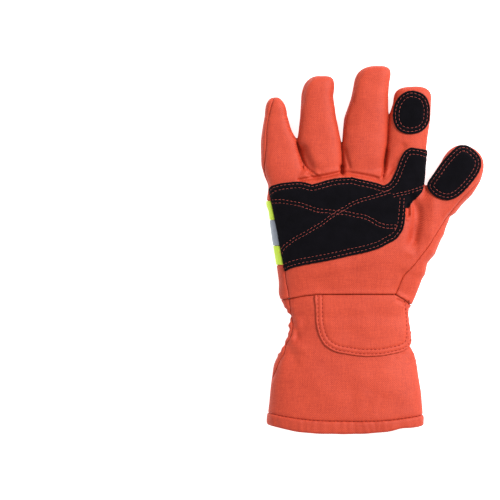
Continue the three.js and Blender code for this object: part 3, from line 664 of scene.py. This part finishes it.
def tape_bed(grid):
    """How far each place lies outside the tape's space, in millimetres."""
    outside = np.maximum(np.maximum(TAPE_LOW - grid.y, grid.y - TAPE_HIGH),
                         grid.x - TAPE_INNER_END)
    return np.maximum(level(outside), grid.palm + 0.4)


print("the tape lies between", [round(float(v), 1) for v in (TAPE_LOW, TAPE_HIGH)], "mm")

# %% [markdown]
# The hand has a palm and a back. A solidified surface would do for the walls too, but its
# edges would have to be modelled, and a field rounds them by itself.

# %% Palm and back of the hand
EDGE_ROUND, LAP_ROUND = 0.5, 0.6  # how softly cloth turns at a seam and at the wrist
LAP_RISE = 0.7


def wall_of(outer, body):
    """The cloth between its outer face and the hollow of the glove."""
    return np.maximum(outer, -(body + WALL))


wrist, hem = level(glove.wrist), level(glove.hem)
lapped = LAP_RISE * np.exp(-((wrist - 0.8) / 2.4) ** 2) * ramp(glove.height, 0, 4)
hand_body = glove.body - lapped
bedded = hand_body + (TAPE_THICK + TAPE_PLAY) * (1 - ramp(tape_bed(glove), 0.1, 0.6))
palm = mesh_of("palm_cloth", smooth_max(smooth_max(
    wall_of(hand_body, hand_body), -glove.palm, EDGE_ROUND), -wrist, LAP_ROUND), glove)
back = mesh_of("back_cloth", smooth_max(smooth_max(
    wall_of(bedded, glove.body), glove.palm, EDGE_ROUND), -wrist, LAP_ROUND), glove)

# %% [markdown]
# The cuff is cut from its own cloth below the wrist seam, and ends at the hem.

# %% Palm and back of the cuff
cuff_space = smooth_max(wrist, -hem, 0.8)
cuff_wall = wall_of(glove.body, glove.body)
cuff_palm, cuff_back = [
    mesh_of(name, smooth_max(smooth_max(cuff_wall, side, EDGE_ROUND), cuff_space, EDGE_ROUND),
            glove)
    for name, side in (("cuff_palm_cloth", -glove.cuff_palm),
                       ("cuff_back_cloth", glove.cuff_palm))]

# %% [markdown]
# ## The rolled hem
# The mouth of the cuff is finished with a fat roll of cloth. It is the same shell, made
# thicker, with both edges rounded so far that the section is almost a circle. It starts a
# little above its seam, so that only a fine line shows there. The row of stitches that holds
# it gives it slight, uneven tucks.

# %% Hem
ROLL_MIDDLE, ROLL_HALF = 1.35, 2.35  # how deep the roll's middle lies, and half its thickness
HEM_OVERLAP = 0.25
hem_pucker = 0.3 * drift(glove.x, 0 * glove.y, 15, 29)
hem_tucks = 0.13 * np.cos(TURN * (glove.x + 0.5 * glove.y) / 6.2
                          + 5.0 * drift(glove.x, glove.y, 40, 37))
hem_tucks += 0.16 * drift(glove.x, 0.5 * glove.y, 9, 41)
hem_roll = np.abs(glove.body + ROLL_MIDDLE) - ROLL_HALF - level(hem_pucker * 0.5 + hem_tucks)
hem_space = smooth_max(hem - HEM_OVERLAP, -(level(glove.mouth + hem_pucker)), 2.0)
hem_body = smooth_max(smooth_max(hem_roll, hem_space, 1.8), 0.1 - glove.z[None, None, :], 0.8)
cuff_hem = mesh_of("hem_roll", hem_body, glove)

# %% [markdown]
# ## Tape round the little-finger edge
# Two yellow strips and a silver one run across the back and come up to the palm. They are
# thin shells of the same field, cut by their rows. A finer grid keeps their edges straight.

# %% Tape strips
STRIP_GAP = 0.15  # left at each edge of a strip
tape_grid = Glove((-88, -13, -1.2), (24, 40, 22), 0.5)
side_rise = 0.3 * ramp(tape_grid.z[None, None, :], 2, 6)
tape_shell = np.maximum(tape_grid.body - side_rise, -(tape_grid.body + TAPE_THICK))


def tape_strip(name, low, high):
    """One strip between two rows."""
    rows = np.maximum(low + STRIP_GAP - tape_grid.y, tape_grid.y - high + STRIP_GAP)
    space = level(np.maximum(rows, tape_grid.x - TAPE_INNER_END + 2 * STRIP_GAP))
    return mesh_of(name, smooth_max(np.maximum(tape_shell, space), tape_grid.palm + 0.5, 0.6),
                   tape_grid)


silver_tape = tape_strip("silver_tape", SILVER_LOW, SILVER_HIGH)
upper_tape = tape_strip("yellow_tape_upper", SILVER_HIGH, TAPE_HIGH)
lower_tape = tape_strip("yellow_tape_lower", TAPE_LOW, SILVER_LOW)

# %% [markdown]
# ## Rows of stitches
# Thread shows as short dashes in two rows along every patch edge, and in two crossed pairs
# over the palm. The rows along an edge are the outline moved inwards. Each row also presses a
# shallow groove into its patch, so the rows are worked out before the patches.

# %% Stitch rows
def inset(edge, distance, outline):
    """A row inside an outline, at a distance from its edge, without loops at corners."""
    run = np.gradient(edge, axis=0)
    run /= np.linalg.norm(run, axis=1)[:, None] + 1e-9
    normal = np.stack([-run[:, 1], run[:, 0]], axis=1)
    rows = []
    for sign in (1, -1):
        moved = edge + sign * distance * normal
        clear = chain_distance(moved[:, 0], moved[:, 1], edge) > distance - 0.15
        rows.append(moved[clear & is_inside(moved[:, 0], moved[:, 1], outline)])
    row = max(rows, key=len)
    closed = math.dist(edge[0], edge[-1]) < 1
    return smooth_curve(row[::3], closed=closed, step=FINE_STEP)


def beside(points, distance):
    """An open row moved sideways."""
    curve = smooth_curve(points, step=CURVE_STEP)
    run = np.gradient(curve, axis=0)
    run /= np.linalg.norm(run, axis=1)[:, None]
    return curve + distance * np.stack([-run[:, 1], run[:, 0]], axis=1)


# %% [markdown]
# The rows over the palm don't follow an edge, so they are traced on the drawing. Two pairs
# cross in the middle, and a short pair runs over the root of the index finger.

# %% Rows on the patches and the hem
CROSS_UP = drawn([
    (280.8, 252.6), (283.7, 247.4), (289.4, 242.8), (295, 238.8), (303.8, 234.2), (312.4, 229),
    (321, 224), (329.6, 217.6), (338, 212), (345, 208), (352, 203.8), (360.8, 200.3),
    (369.4, 198), (381, 194.6), (388, 192.4)])
CROSS_DOWN = drawn([
    (272.4, 201.8), (280.8, 201.5), (292.3, 203.3), (301, 205), (309.5, 208), (317, 210.5),
    (326.8, 211.5), (335.4, 212.4), (346.5, 213.5), (355, 215.4), (363.7, 217), (370.6, 220),
    (378, 224.4), (385.5, 226.5), (394.6, 226.7)])
INDEX_BASE = drawn([(393, 195.8), (400, 194.2), (406.8, 192.8), (415.4, 190), (423, 187.4)])
top_edge = smooth_curve(drawn([(264, 190), *PALM_TOP_EDGE, (436, 152)]), step=FINE_STEP)
low_edge = smooth_curve(drawn([(406.2, 199), *PALM_LOW_EDGE, (279, 274)]), step=FINE_STEP)
palm_rows = [inset(top_edge, 2.0, PALM_PATCH), inset(top_edge, 5.0, PALM_PATCH),
             inset(low_edge, 2.2, PALM_PATCH), inset(low_edge, 5.4, PALM_PATCH),
             beside(CROSS_UP, 1.1), beside(CROSS_UP, -1.1),
             beside(CROSS_DOWN, 1.3), beside(CROSS_DOWN, -1.3),
             beside(INDEX_BASE, 1.0), beside(INDEX_BASE, -1.0)]
index_rows = [inset(INDEX_PATCH, 2.1, INDEX_PATCH), inset(INDEX_PATCH, 4.9, INDEX_PATCH)]
thumb_rows = [inset(THUMB_PATCH, 2.3, THUMB_PATCH), inset(THUMB_PATCH, 5.0, THUMB_PATCH)]
wrist_edge = smooth_curve(drawn(WRIST_PATCH_EDGE), step=FINE_STEP)
wrist_rows = [row[row[:, 1] < WRIST_SEAM[5, 1] - 0.8] for row in (
    inset(wrist_edge, 1.9, WRIST_PATCH), inset(wrist_edge, 5.3, WRIST_PATCH))]
hem_row = beside(HEM_LINE[(HEM_LINE[:, 0] > -78) & (HEM_LINE[:, 0] < 37)], 0.35)
print("stitch rows", len(palm_rows) + len(index_rows) + len(thumb_rows) + len(wrist_rows) + 1)

# %% [markdown]
# ## Patches
# Suede is cut, not turned, so its edge is crisp and slightly furry. Each patch is a thin
# shell that stands on the cloth, with grooves under its stitch rows and a soft swell between
# them. It is built on a finer grid than the cloth, because its edge and rows are small. The
# height of its surface is kept for every place of the plan, to lay the stitches on it. The
# cloth patch below the wrist seam is made in the same way.

# %% Height of a surface
def top_of(field, grid):
    """The height where a field is crossed from above, for every place of the plan."""
    inside = field < 0
    last = field.shape[2] - 1 - np.argmax(inside[:, :, ::-1], axis=2)
    last = np.clip(last, 0, field.shape[2] - 2)
    i, j = np.indices(last.shape)
    low, high = field[i, j, last], field[i, j, last + 1]
    share = np.clip(-low / (high - low + 1e-6), 0, 1)
    height = grid.z[0] + (last + share) * grid.voxel
    return np.where(inside.any(axis=2), height, np.nan)


# %% [markdown]
# A patch could be a plane that is shrink-wrapped to the cloth and solidified. As a field it
# can't sink in anywhere, and its grooves and its edge come from the same distances.

# %% Patches
PATCH_THICK, PATCH_PLAY = 1.2, 0.25  # the play is between a patch and what it lies on
GROOVE_DEPTH, GROOVE_WIDTH = 0.5, 0.9
FRAY = 0.12  # how uneven the cut edge is


def patch_of(name, outline, rows, low, high, voxel, below_wrist=False):
    """A patch on the cloth, and its grid with the height of its surface on the plan."""
    grid = Glove(low, high, voxel * (1))
    x, y = grid.x, grid.y
    groove = np.zeros(x.shape, np.float32)
    for row in rows:
        distance = chain_distance(x, y, row[::2])
        groove = np.maximum(groove, GROOVE_DEPTH * np.exp(-(distance / GROOVE_WIDTH) ** 2))
    edge = region_distance(x, y, outline[::2]) + FRAY * drift(x, y, 3, 23)
    outer = grid.body - PATCH_PLAY - PATCH_THICK + level(groove)
    field = np.maximum(outer, PATCH_PLAY - grid.body)
    field = smooth_max(field, level(edge), 0.7)
    field = smooth_max(field, 0.5 - grid.height, 0.6)
    if below_wrist:
        field = smooth_max(field, level(grid.wrist) + PATCH_PLAY, 0.6)
    grid.surface = top_of(outer, grid)
    return mesh_of(name, field, grid), grid


palm_patch, palm_grid = patch_of(
    "palm_suede", PALM_PATCH, palm_rows, (-84, -22, 6), (50, 85, 32), 0.6)
index_patch, index_grid = patch_of(
    "index_tip_suede", INDEX_PATCH, index_rows, (10, 84, 4), (50, 130, 28), 0.5)
thumb_patch, thumb_grid = patch_of(
    "thumb_suede", THUMB_PATCH, thumb_rows, (38, 34, 4), (92, 86, 30), 0.5)
wrist_patch, wrist_grid = patch_of(
    "wrist_cloth_patch", WRIST_PATCH, wrist_rows, (-50, -88, 6), (38, -28, 34), 0.6,
    below_wrist=True)
glove.surface = top_of(glove.body, glove)
print("highest place", round(float(np.nanmax(glove.surface)), 1), "mm")

# %% [markdown]
# ## Stitches with Geometry Nodes
# A stitch repeats along a path, which is what Geometry Nodes are for. The tree turns a chain
# of edges into a curve, drops a point on it at every pitch, puts a long thin ball on each
# point and turns it along the row. The pitch and a stitch's length and radius are inputs of
# the tree, so that each seam can have its own. A few sides are enough for so small a ball.

# %% Stitch tree
def stitch_tree():
    tree = bpy.data.node_groups.new("Stitch row", "GeometryNodeTree")
    sockets = tree.interface
    sockets.new_socket("Rows", in_out="INPUT", socket_type="NodeSocketGeometry")
    for name in ("Pitch", "Stitch length", "Thread radius"):
        sockets.new_socket(name, in_out="INPUT", socket_type="NodeSocketFloat")
    sockets.new_socket("Thread", in_out="INPUT", socket_type="NodeSocketMaterial")
    sockets.new_socket("Stitches", in_out="OUTPUT", socket_type="NodeSocketGeometry")
    add = tree.nodes.new
    given, result = add("NodeGroupInput"), add("NodeGroupOutput")
    curve, spots = add("GeometryNodeMeshToCurve"), add("GeometryNodeCurveToPoints")
    spots.mode = "LENGTH"
    ball, size = add("GeometryNodeMeshUVSphere"), add("ShaderNodeCombineXYZ")
    ball.inputs["Segments"].default_value = 7
    ball.inputs["Rings"].default_value = 6
    shape, turn = add("GeometryNodeTransform"), add("FunctionNodeAlignRotationToVector")
    turn.axis = "Z"
    place, real = add("GeometryNodeInstanceOnPoints"), add("GeometryNodeRealizeInstances")
    smooth, paint = add("GeometryNodeSetShadeSmooth"), add("GeometryNodeSetMaterial")
    for source, out, target, into in (
            (given, "Rows", curve, "Mesh"), (curve, "Curve", spots, "Curve"),
            (given, "Pitch", spots, "Length"), (given, "Thread radius", size, "X"),
            (given, "Thread radius", size, "Y"), (given, "Stitch length", size, "Z"),
            (ball, "Mesh", shape, "Geometry"), (size, "Vector", shape, "Scale"),
            (spots, "Tangent", turn, "Vector"), (spots, "Points", place, "Points"),
            (shape, "Geometry", place, "Instance"), (turn, "Rotation", place, "Rotation"),
            (place, "Instances", real, "Geometry"), (real, "Geometry", smooth, "Geometry"),
            (smooth, "Geometry", paint, "Geometry"), (given, "Thread", paint, "Material"),
            (paint, "Geometry", result, "Stitches")):
        tree.links.new(source.outputs[out], target.inputs[into])
    return tree


STITCHES = stitch_tree()
print("nodes in the stitch tree", len(STITCHES.nodes))

# %% [markdown]
# The rows are drawn flat, so they are laid on the cloth or the suede before the stitches are
# put on them. The height between four places of the plan is a weighted mean of theirs.

# %% Laying a row on a surface
def on_surface(row, grid):
    """A row of the plan laid on a grid's surface, in metres."""
    place = (row - grid.low[:2]) / grid.voxel
    inside = ((place >= 0) & (place < np.array(grid.surface.shape) - 1.001)).all(axis=1)
    row, place = row[inside], place[inside]
    i, j = place.astype(int).T
    s, t = (place - np.floor(place)).T
    h = grid.surface
    height = ((1 - s) * (1 - t) * h[i, j] + s * (1 - t) * h[i + 1, j]
              + (1 - s) * t * h[i, j + 1] + s * t * h[i + 1, j + 1])
    there = np.isfinite(height)
    return np.column_stack([row[there], height[there]]) * METRE


# %% [markdown]
# The stitches of one patch become one piece. The tree is run once on a mesh of edges, and its
# result is kept as a plain mesh, so that it can be exported.

# %% Rows to stitches
PITCH = 0.0031  # from one stitch to the next
LONGEST_STEP = 0.003  # a row is broken where its points lie further apart


def stitches(name, rows, length, radius, thread):
    """One mesh of stitches along rows of points in metres."""
    points = [p for row in rows for p in row]
    starts = np.cumsum([0] + [len(row) for row in rows])
    edges = [(i, i + 1) for a, b in zip(starts[:-1], starts[1:]) for i in range(a, b - 1)
             if math.dist(points[i], points[i + 1]) < LONGEST_STEP]
    path = bpy.data.meshes.new(name + "_path")
    path.from_pydata([tuple(p) for p in points], edges, [])
    carrier = bpy.data.objects.new(name + "_path", path)
    bpy.context.scene.collection.objects.link(carrier)
    modifier = carrier.modifiers.new("Stitch row", "NODES")
    modifier.node_group = STITCHES
    values = {"Pitch": PITCH, "Stitch length": length / 2, "Thread radius": radius,
              "Thread": thread}
    for item in STITCHES.interface.items_tree:
        if item.in_out == "INPUT" and item.name in values:
            modifier[item.identifier] = values[item.name]
    shown = carrier.evaluated_get(bpy.context.evaluated_depsgraph_get())
    made = bpy.data.meshes.new_from_object(shown)
    bpy.data.objects.remove(carrier)
    made.name = name
    piece = bpy.data.objects.new(name, made)
    bpy.context.scene.collection.objects.link(piece)
    print(f"{name}: {len(made.polygons)} faces")
    return piece


# %% [markdown]
# ## Writing shader maths as arithmetic
# A finish is a small sum: so much of the weave, so much of a slub. A class that wraps a
# socket and overloads the operators lets the script say so in one line, and adds the Math
# nodes by itself. Colours are mixed by Mix nodes, because a Math node would turn them grey.

# %% Sums of sockets
class Amount:
    """A number that changes over the surface, as an output socket."""

    def __init__(self, finish, socket):
        self.finish, self.socket = finish, socket

    def math(self, operation, *others):
        values = {i: other for i, other in enumerate((self, *others))}
        return self.finish.node("ShaderNodeMath", {"operation": operation}, values)

    def __add__(self, other):
        return self.math("ADD", other)

    def __mul__(self, other):
        return self.math("MULTIPLY", other)

    def __sub__(self, other):
        return self.math("SUBTRACT", other)

    def __rsub__(self, other):
        return (self * -1.0) + other

    __radd__ = __add__
    __rmul__ = __mul__


# %% [markdown]
# A finish is one Principled shader with its nodes. It knows how to add a node, a noise, a
# mix of two colours and a bump, and where the cloth's own lengths are kept.

# %% Finishes
class Finish:
    """A material that is built node by node."""

    def __init__(self, name, **constants):
        self.material = bpy.data.materials.new(name)
        self.material.use_nodes = True
        self.tree = self.material.node_tree
        self.tree.nodes.clear()
        self.shader = self.tree.nodes.new("ShaderNodeBsdfPrincipled")
        out = self.tree.nodes.new("ShaderNodeOutputMaterial")
        self.tree.links.new(self.shader.outputs["BSDF"], out.inputs["Surface"])
        for key, value in constants.items():
            self.shader.inputs[key.replace("_", " ")].default_value = value

    def node(self, kind, settings, sockets, output=0):
        node = self.tree.nodes.new(kind)
        for key, value in settings.items():
            setattr(node, key, value)
        for key, value in sockets.items():
            if isinstance(value, Amount):
                self.tree.links.new(value.socket, node.inputs[key])
            else:
                node.inputs[key].default_value = value
        return Amount(self, node.outputs[output])

    def cloth_lengths(self):
        """Lengths across and along the cloth, in metres, and both as a vector."""
        both = self.node("ShaderNodeAttribute", {"attribute_name": "cloth"}, {}, "Vector")
        parts = self.tree.nodes.new("ShaderNodeSeparateXYZ")
        self.tree.links.new(both.socket, parts.inputs[0])
        return Amount(self, parts.outputs[0]), Amount(self, parts.outputs[1]), both

    def place(self):
        return self.node("ShaderNodeTexCoord", {}, {}, "Object")

    def noise(self, where, scale, detail=2.0, stretch=(1, 1, 1), rough=0.5):
        if stretch != (1, 1, 1):
            where = self.node("ShaderNodeMapping", {}, {"Vector": where, "Scale": stretch})
        return self.node("ShaderNodeTexNoise", {}, {
            "Vector": where, "Scale": scale, "Detail": detail, "Roughness": rough}, "Fac")

    def mix(self, share, a, b):
        node = self.tree.nodes.new("ShaderNodeMix")
        node.data_type = "RGBA"
        for key, value in ((0, share), (6, a), (7, b)):
            if isinstance(value, Amount):
                self.tree.links.new(value.socket, node.inputs[key])
            else:
                node.inputs[key].default_value = value
        return Amount(self, node.outputs[2])

    def feed(self, socket, value):
        self.tree.links.new(value.socket, self.shader.inputs[socket])

    def bump(self, height, distance, strength=1.0):
        self.feed("Normal", self.node("ShaderNodeBump", {}, {
            "Height": height, "Distance": distance, "Strength": strength}))


def shade(red, green, blue):
    return (red, green, blue, 1.0)


# %% [markdown]
# ## The orange cloth
# The cloth is a matte plain weave with a faint rib. Warp and weft are sine waves along the
# cloth's own lengths, and slubs are noise stretched along the threads. The colour drifts a
# little over the whole panel, as dyed cloth does, and fuzz brightens it at a slant, which is
# the sheen.

# %% Cloth
CLOTH_DARK = shade(0.32, 0.0155, 0.0035)
CLOTH_LIGHT = shade(0.62, 0.066, 0.022)
WEAVE_PITCH = 0.0016


def cloth_finish(name, tone=1.0):
    finish = Finish(name, Sheen_Weight=0.05, Sheen_Roughness=0.3, Specular_IOR_Level=0.42)
    finish.shader.inputs["Sheen Tint"].default_value = shade(1.0, 0.5, 0.3)
    across, along, both = finish.cloth_lengths()
    warp = (across * (TURN / WEAVE_PITCH)).math("SINE")
    weft = (along * (TURN / WEAVE_PITCH)).math("SINE")
    weave = warp * weft * 0.5 + 0.5
    slub_warp = finish.noise(both, 1.0, stretch=(1500, 110, 60))
    slub_weft = finish.noise(both, 1.0, stretch=(110, 1500, 60))
    drift_of_dye = finish.noise(finish.place(), 38.0, 3.0)
    fuzz = finish.noise(finish.place(), 1100.0, 3.0)
    share = (weave * 0.5 + slub_warp * 0.5 + slub_weft * 0.4 + drift_of_dye * 0.4
             + fuzz * 0.9 - 0.85)
    dark = tuple(c * tone for c in CLOTH_DARK[:3]) + (1.0,)
    light = tuple(c * tone for c in CLOTH_LIGHT[:3]) + (1.0,)
    finish.feed("Base Color", finish.mix(share, dark, light))
    finish.feed("Roughness", fuzz * 0.12 + 0.6)
    height = weave * 0.5 + slub_warp * 0.5 + slub_weft * 0.5 + fuzz * 0.3
    finish.bump(height, 0.00016, 0.8)
    return finish.material


cloth = cloth_finish("orange_cloth")
patch_cloth = cloth_finish("orange_patch_cloth")
hem_cloth = cloth_finish("orange_hem_cloth", 0.96)

# %% [markdown]
# ## Suede
# Suede is nearly black, and its nap catches light in patches. Two noises mix two dark shades:
# a fine one for the nap and a coarse one for the way it was brushed.

# %% Suede
def suede_finish(name):
    finish = Finish(name, Sheen_Weight=0.05, Sheen_Roughness=0.5, Specular_IOR_Level=0.06)
    finish.shader.inputs["Sheen Tint"].default_value = shade(0.8, 0.75, 0.9)
    place = finish.place()
    nap = finish.noise(place, 1300.0, 3.0)
    brushed = finish.noise(place, 120.0, 3.0, rough=0.6)
    share = nap * 0.5 + brushed * 0.9 - 0.25
    finish.feed("Base Color", finish.mix(share, shade(0.0006, 0.0005, 0.0009),
                                         shade(0.0042, 0.0036, 0.0056)))
    finish.feed("Roughness", nap * 0.15 + 0.85)
    finish.bump(nap + brushed * 0.5, 0.0003, 0.9)
    return finish.material


black_suede = suede_finish("black_suede")


# %% [markdown]
# ## Thread
# Thread is a smooth dusty rose on the suede. On the cloth it is a darker red, and its colour is
# made darker still as painted shade of the holes where it sinks in, so that it only shows as a
# line.
# It is twisted, which a very fine noise is enough for.

# %% Thread
def thread_finish(name, dark, light):
    finish = Finish(name, Roughness=0.7, Specular_IOR_Level=0.2)
    twist = finish.noise(finish.place(), 2600.0, 2.0)
    finish.feed("Base Color", finish.mix(twist, dark, light))
    finish.bump(twist, 0.0001)
    return finish.material


rose_thread = thread_finish("rose_thread", shade(0.36, 0.06, 0.05), shade(0.74, 0.15, 0.12))
# darker red thread, with painted shade of its stitch holes put into its colour
dark_thread_with_painted_shade = thread_finish("dark_thread_with_painted_shade", shade(0.17, 0.009, 0.005),
                             shade(0.32, 0.022, 0.012))


# %% [markdown]
# ## Tape
# The tape is a plastic film with a fine lattice. Two slanted sets of waves cross, and the
# lower one at each place makes the cells. The silver tape is a little metallic, and the
# yellow one is a bright lime.

# %% Tape
LATTICE_PITCH = 0.0016


def tape_finish(name, dark, light, metallic, rough):
    finish = Finish(name, Specular_IOR_Level=0.5, Metallic=metallic)
    across, along, _ = finish.cloth_lengths()
    one, two = [(slant * (TURN / LATTICE_PITCH / 2)).math("SINE").math("ABSOLUTE")
                for slant in (across + along, across - along)]
    cell = one.math("MINIMUM", two).math("SQRT")
    scuff = finish.noise(finish.place(), 300.0, 3.0)
    finish.feed("Base Color", finish.mix(cell * 0.7 + scuff * 0.5 - 0.1, dark, light))
    finish.feed("Roughness", scuff * 0.2 + rough)
    finish.bump(cell, 0.00008, 0.7)
    return finish.material


silver = tape_finish("silver_tape_film", shade(0.15, 0.165, 0.2), shade(0.29, 0.32, 0.38),
                     metallic=0.35, rough=0.34)
yellow = tape_finish("yellow_tape_film", shade(0.42, 0.6, 0.02), shade(0.6, 0.8, 0.04),
                     metallic=0.0, rough=0.45)
print("materials", len(bpy.data.materials))

# %% [markdown]
# ## Stitching the patches and the hem
# The suede has a fine thread that stands out by its colour. The thread on the cloth is thicker
# and shorter, and its dark colour is partly its own darker red and partly painted shade of its
# holes.

# %% Stitches on the patches and the hem
FINE_THREAD = (0.0022, 0.00012, rose_thread)  # a stitch's length, its radius and its finish
WRIST_THREAD = (0.0021, 0.00032, dark_thread_with_painted_shade)
HEM_THREAD = (0.0021, 0.00036, dark_thread_with_painted_shade)
palm_thread, index_thread, thumb_thread, wrist_thread, hem_thread = [
    stitches(name, [on_surface(row, grid) for row in rows], *thread)
    for name, rows, grid, thread in (
        ("palm_stitches", palm_rows, palm_grid, FINE_THREAD),
        ("index_tip_stitches", index_rows, index_grid, FINE_THREAD),
        ("thumb_stitches", thumb_rows, thumb_grid, FINE_THREAD),
        ("wrist_stitches", wrist_rows, wrist_grid, WRIST_THREAD),
        ("hem_stitches", [hem_row], glove, HEM_THREAD))]

# %% [markdown]
# ## Dressing the pieces
# Every piece rides on the glove's one body, stands for its solid in the imported model and
# takes its finish.

# %% Materials and bodies
dressing = [
    (palm, cloth, "palm_panel"), (back, cloth, "back_panel"),
    (cuff_palm, cloth, "cuff_palm_panel"), (cuff_back, cloth, "cuff_back_panel"),
    (cuff_hem, hem_cloth, "cuff_hem"), (wrist_patch, patch_cloth, "wrist_patch"),
    (palm_patch, black_suede, "palm_patch"), (index_patch, black_suede, "index_tip_patch"),
    (thumb_patch, black_suede, "thumb_tip_patch"), (silver_tape, silver, "reflective_tape"),
    (upper_tape, yellow, "hi_vis_band_upper"), (lower_tape, yellow, "hi_vis_band_lower"),
]
for piece, material, node in dressing:
    piece.data.materials.append(material)
    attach(piece, "root")
    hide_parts(node)
for piece, node in ((palm_thread, "palm_patch"), (index_thread, "index_tip_patch"),
                    (thumb_thread, "thumb_tip_patch"), (wrist_thread, "wrist_patch"),
                    (hem_thread, "cuff_hem")):
    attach(piece, "root")

print("pieces with a finish", len(dressing))

# %% [markdown]


# %% [markdown]
# ## Floor
# The glove lies on a plain white floor. It glows a little, so that it stays pure white.

# %% Floor
FLOOR_RADIUS = 7
bpy.ops.mesh.primitive_circle_add(vertices=96, radius=FLOOR_RADIUS, fill_type="NGON")
floor = bpy.context.object
floor.name = "floor"
paper = Finish("white_paper", Specular_IOR_Level=0.1, Emission_Strength=0.8)
paper.shader.inputs["Emission Color"].default_value = shade(1, 1, 1)
grain = paper.noise(paper.place(), 30.0, 2.0)
paper.feed("Base Color", paper.mix(grain, shade(0.93, 0.93, 0.93), shade(0.95, 0.95, 0.95)))
paper.feed("Roughness", grain * 0.05 + 0.9)
floor.data.materials.append(paper.material)
print("floor", 2 * FLOOR_RADIUS, "m across")

# %% [markdown]
# ## Light
# A broad soft light from the upper right and a weaker one from the left show the folds without
# hard shadows, and white surroundings fill the shadows in.

# %% Lights
GLOVE_MIDDLE = (-0.02, 0, 0.01)
WORLD_LIGHT = 0.56


def soft_light(name, place, size, power):
    """A round lamp that looks at the glove and doesn't show itself."""
    lamp = bpy.data.lights.new(name, "AREA")
    lamp.shape, lamp.size, lamp.energy = "DISK", size, power
    holder = bpy.data.objects.new(name, lamp)
    holder.location = place
    aim = Vector(GLOVE_MIDDLE) - Vector(place)
    holder.rotation_euler = aim.to_track_quat("-Z", "Y").to_euler()
    holder.visible_camera = False
    bpy.context.scene.collection.objects.link(holder)


soft_light("key", place=(1.25, 0.9, 1.45), size=0.9, power=60)
soft_light("fill", place=(-1.3, -0.3, 1.5), size=1.6, power=6)
world = bpy.data.worlds.new("studio")
world.use_nodes = True
world.node_tree.nodes["Background"].inputs["Color"].default_value = shade(1, 1, 1)
world.node_tree.nodes["Background"].inputs["Strength"].default_value = WORLD_LIGHT
bpy.context.scene.world = world
bpy.context.scene.view_settings.view_transform = "Standard"
print("lights", [lamp.name for lamp in bpy.data.lights])

# %% [markdown]
# ## Camera
# The camera looks straight down, as the drawing does, and its long lens keeps the edges where
# the drawing has them.

# %% Camera
VIEW_WIDTH, VIEW_DISTANCE, OUTLINE_HEIGHT = 0.390, 2.5, 0.012
VIEW_MIDDLE = drawn([(250, 250)])[0] * METRE
lens = bpy.data.cameras.new("camera")
lens.lens = lens.sensor_width * VIEW_DISTANCE / VIEW_WIDTH
camera = bpy.data.objects.new("camera", lens)
camera.location = (*VIEW_MIDDLE, VIEW_DISTANCE + OUTLINE_HEIGHT)
bpy.context.scene.collection.objects.link(camera)
bpy.context.scene.camera = camera
print("lens", round(lens.lens, 1), "mm")
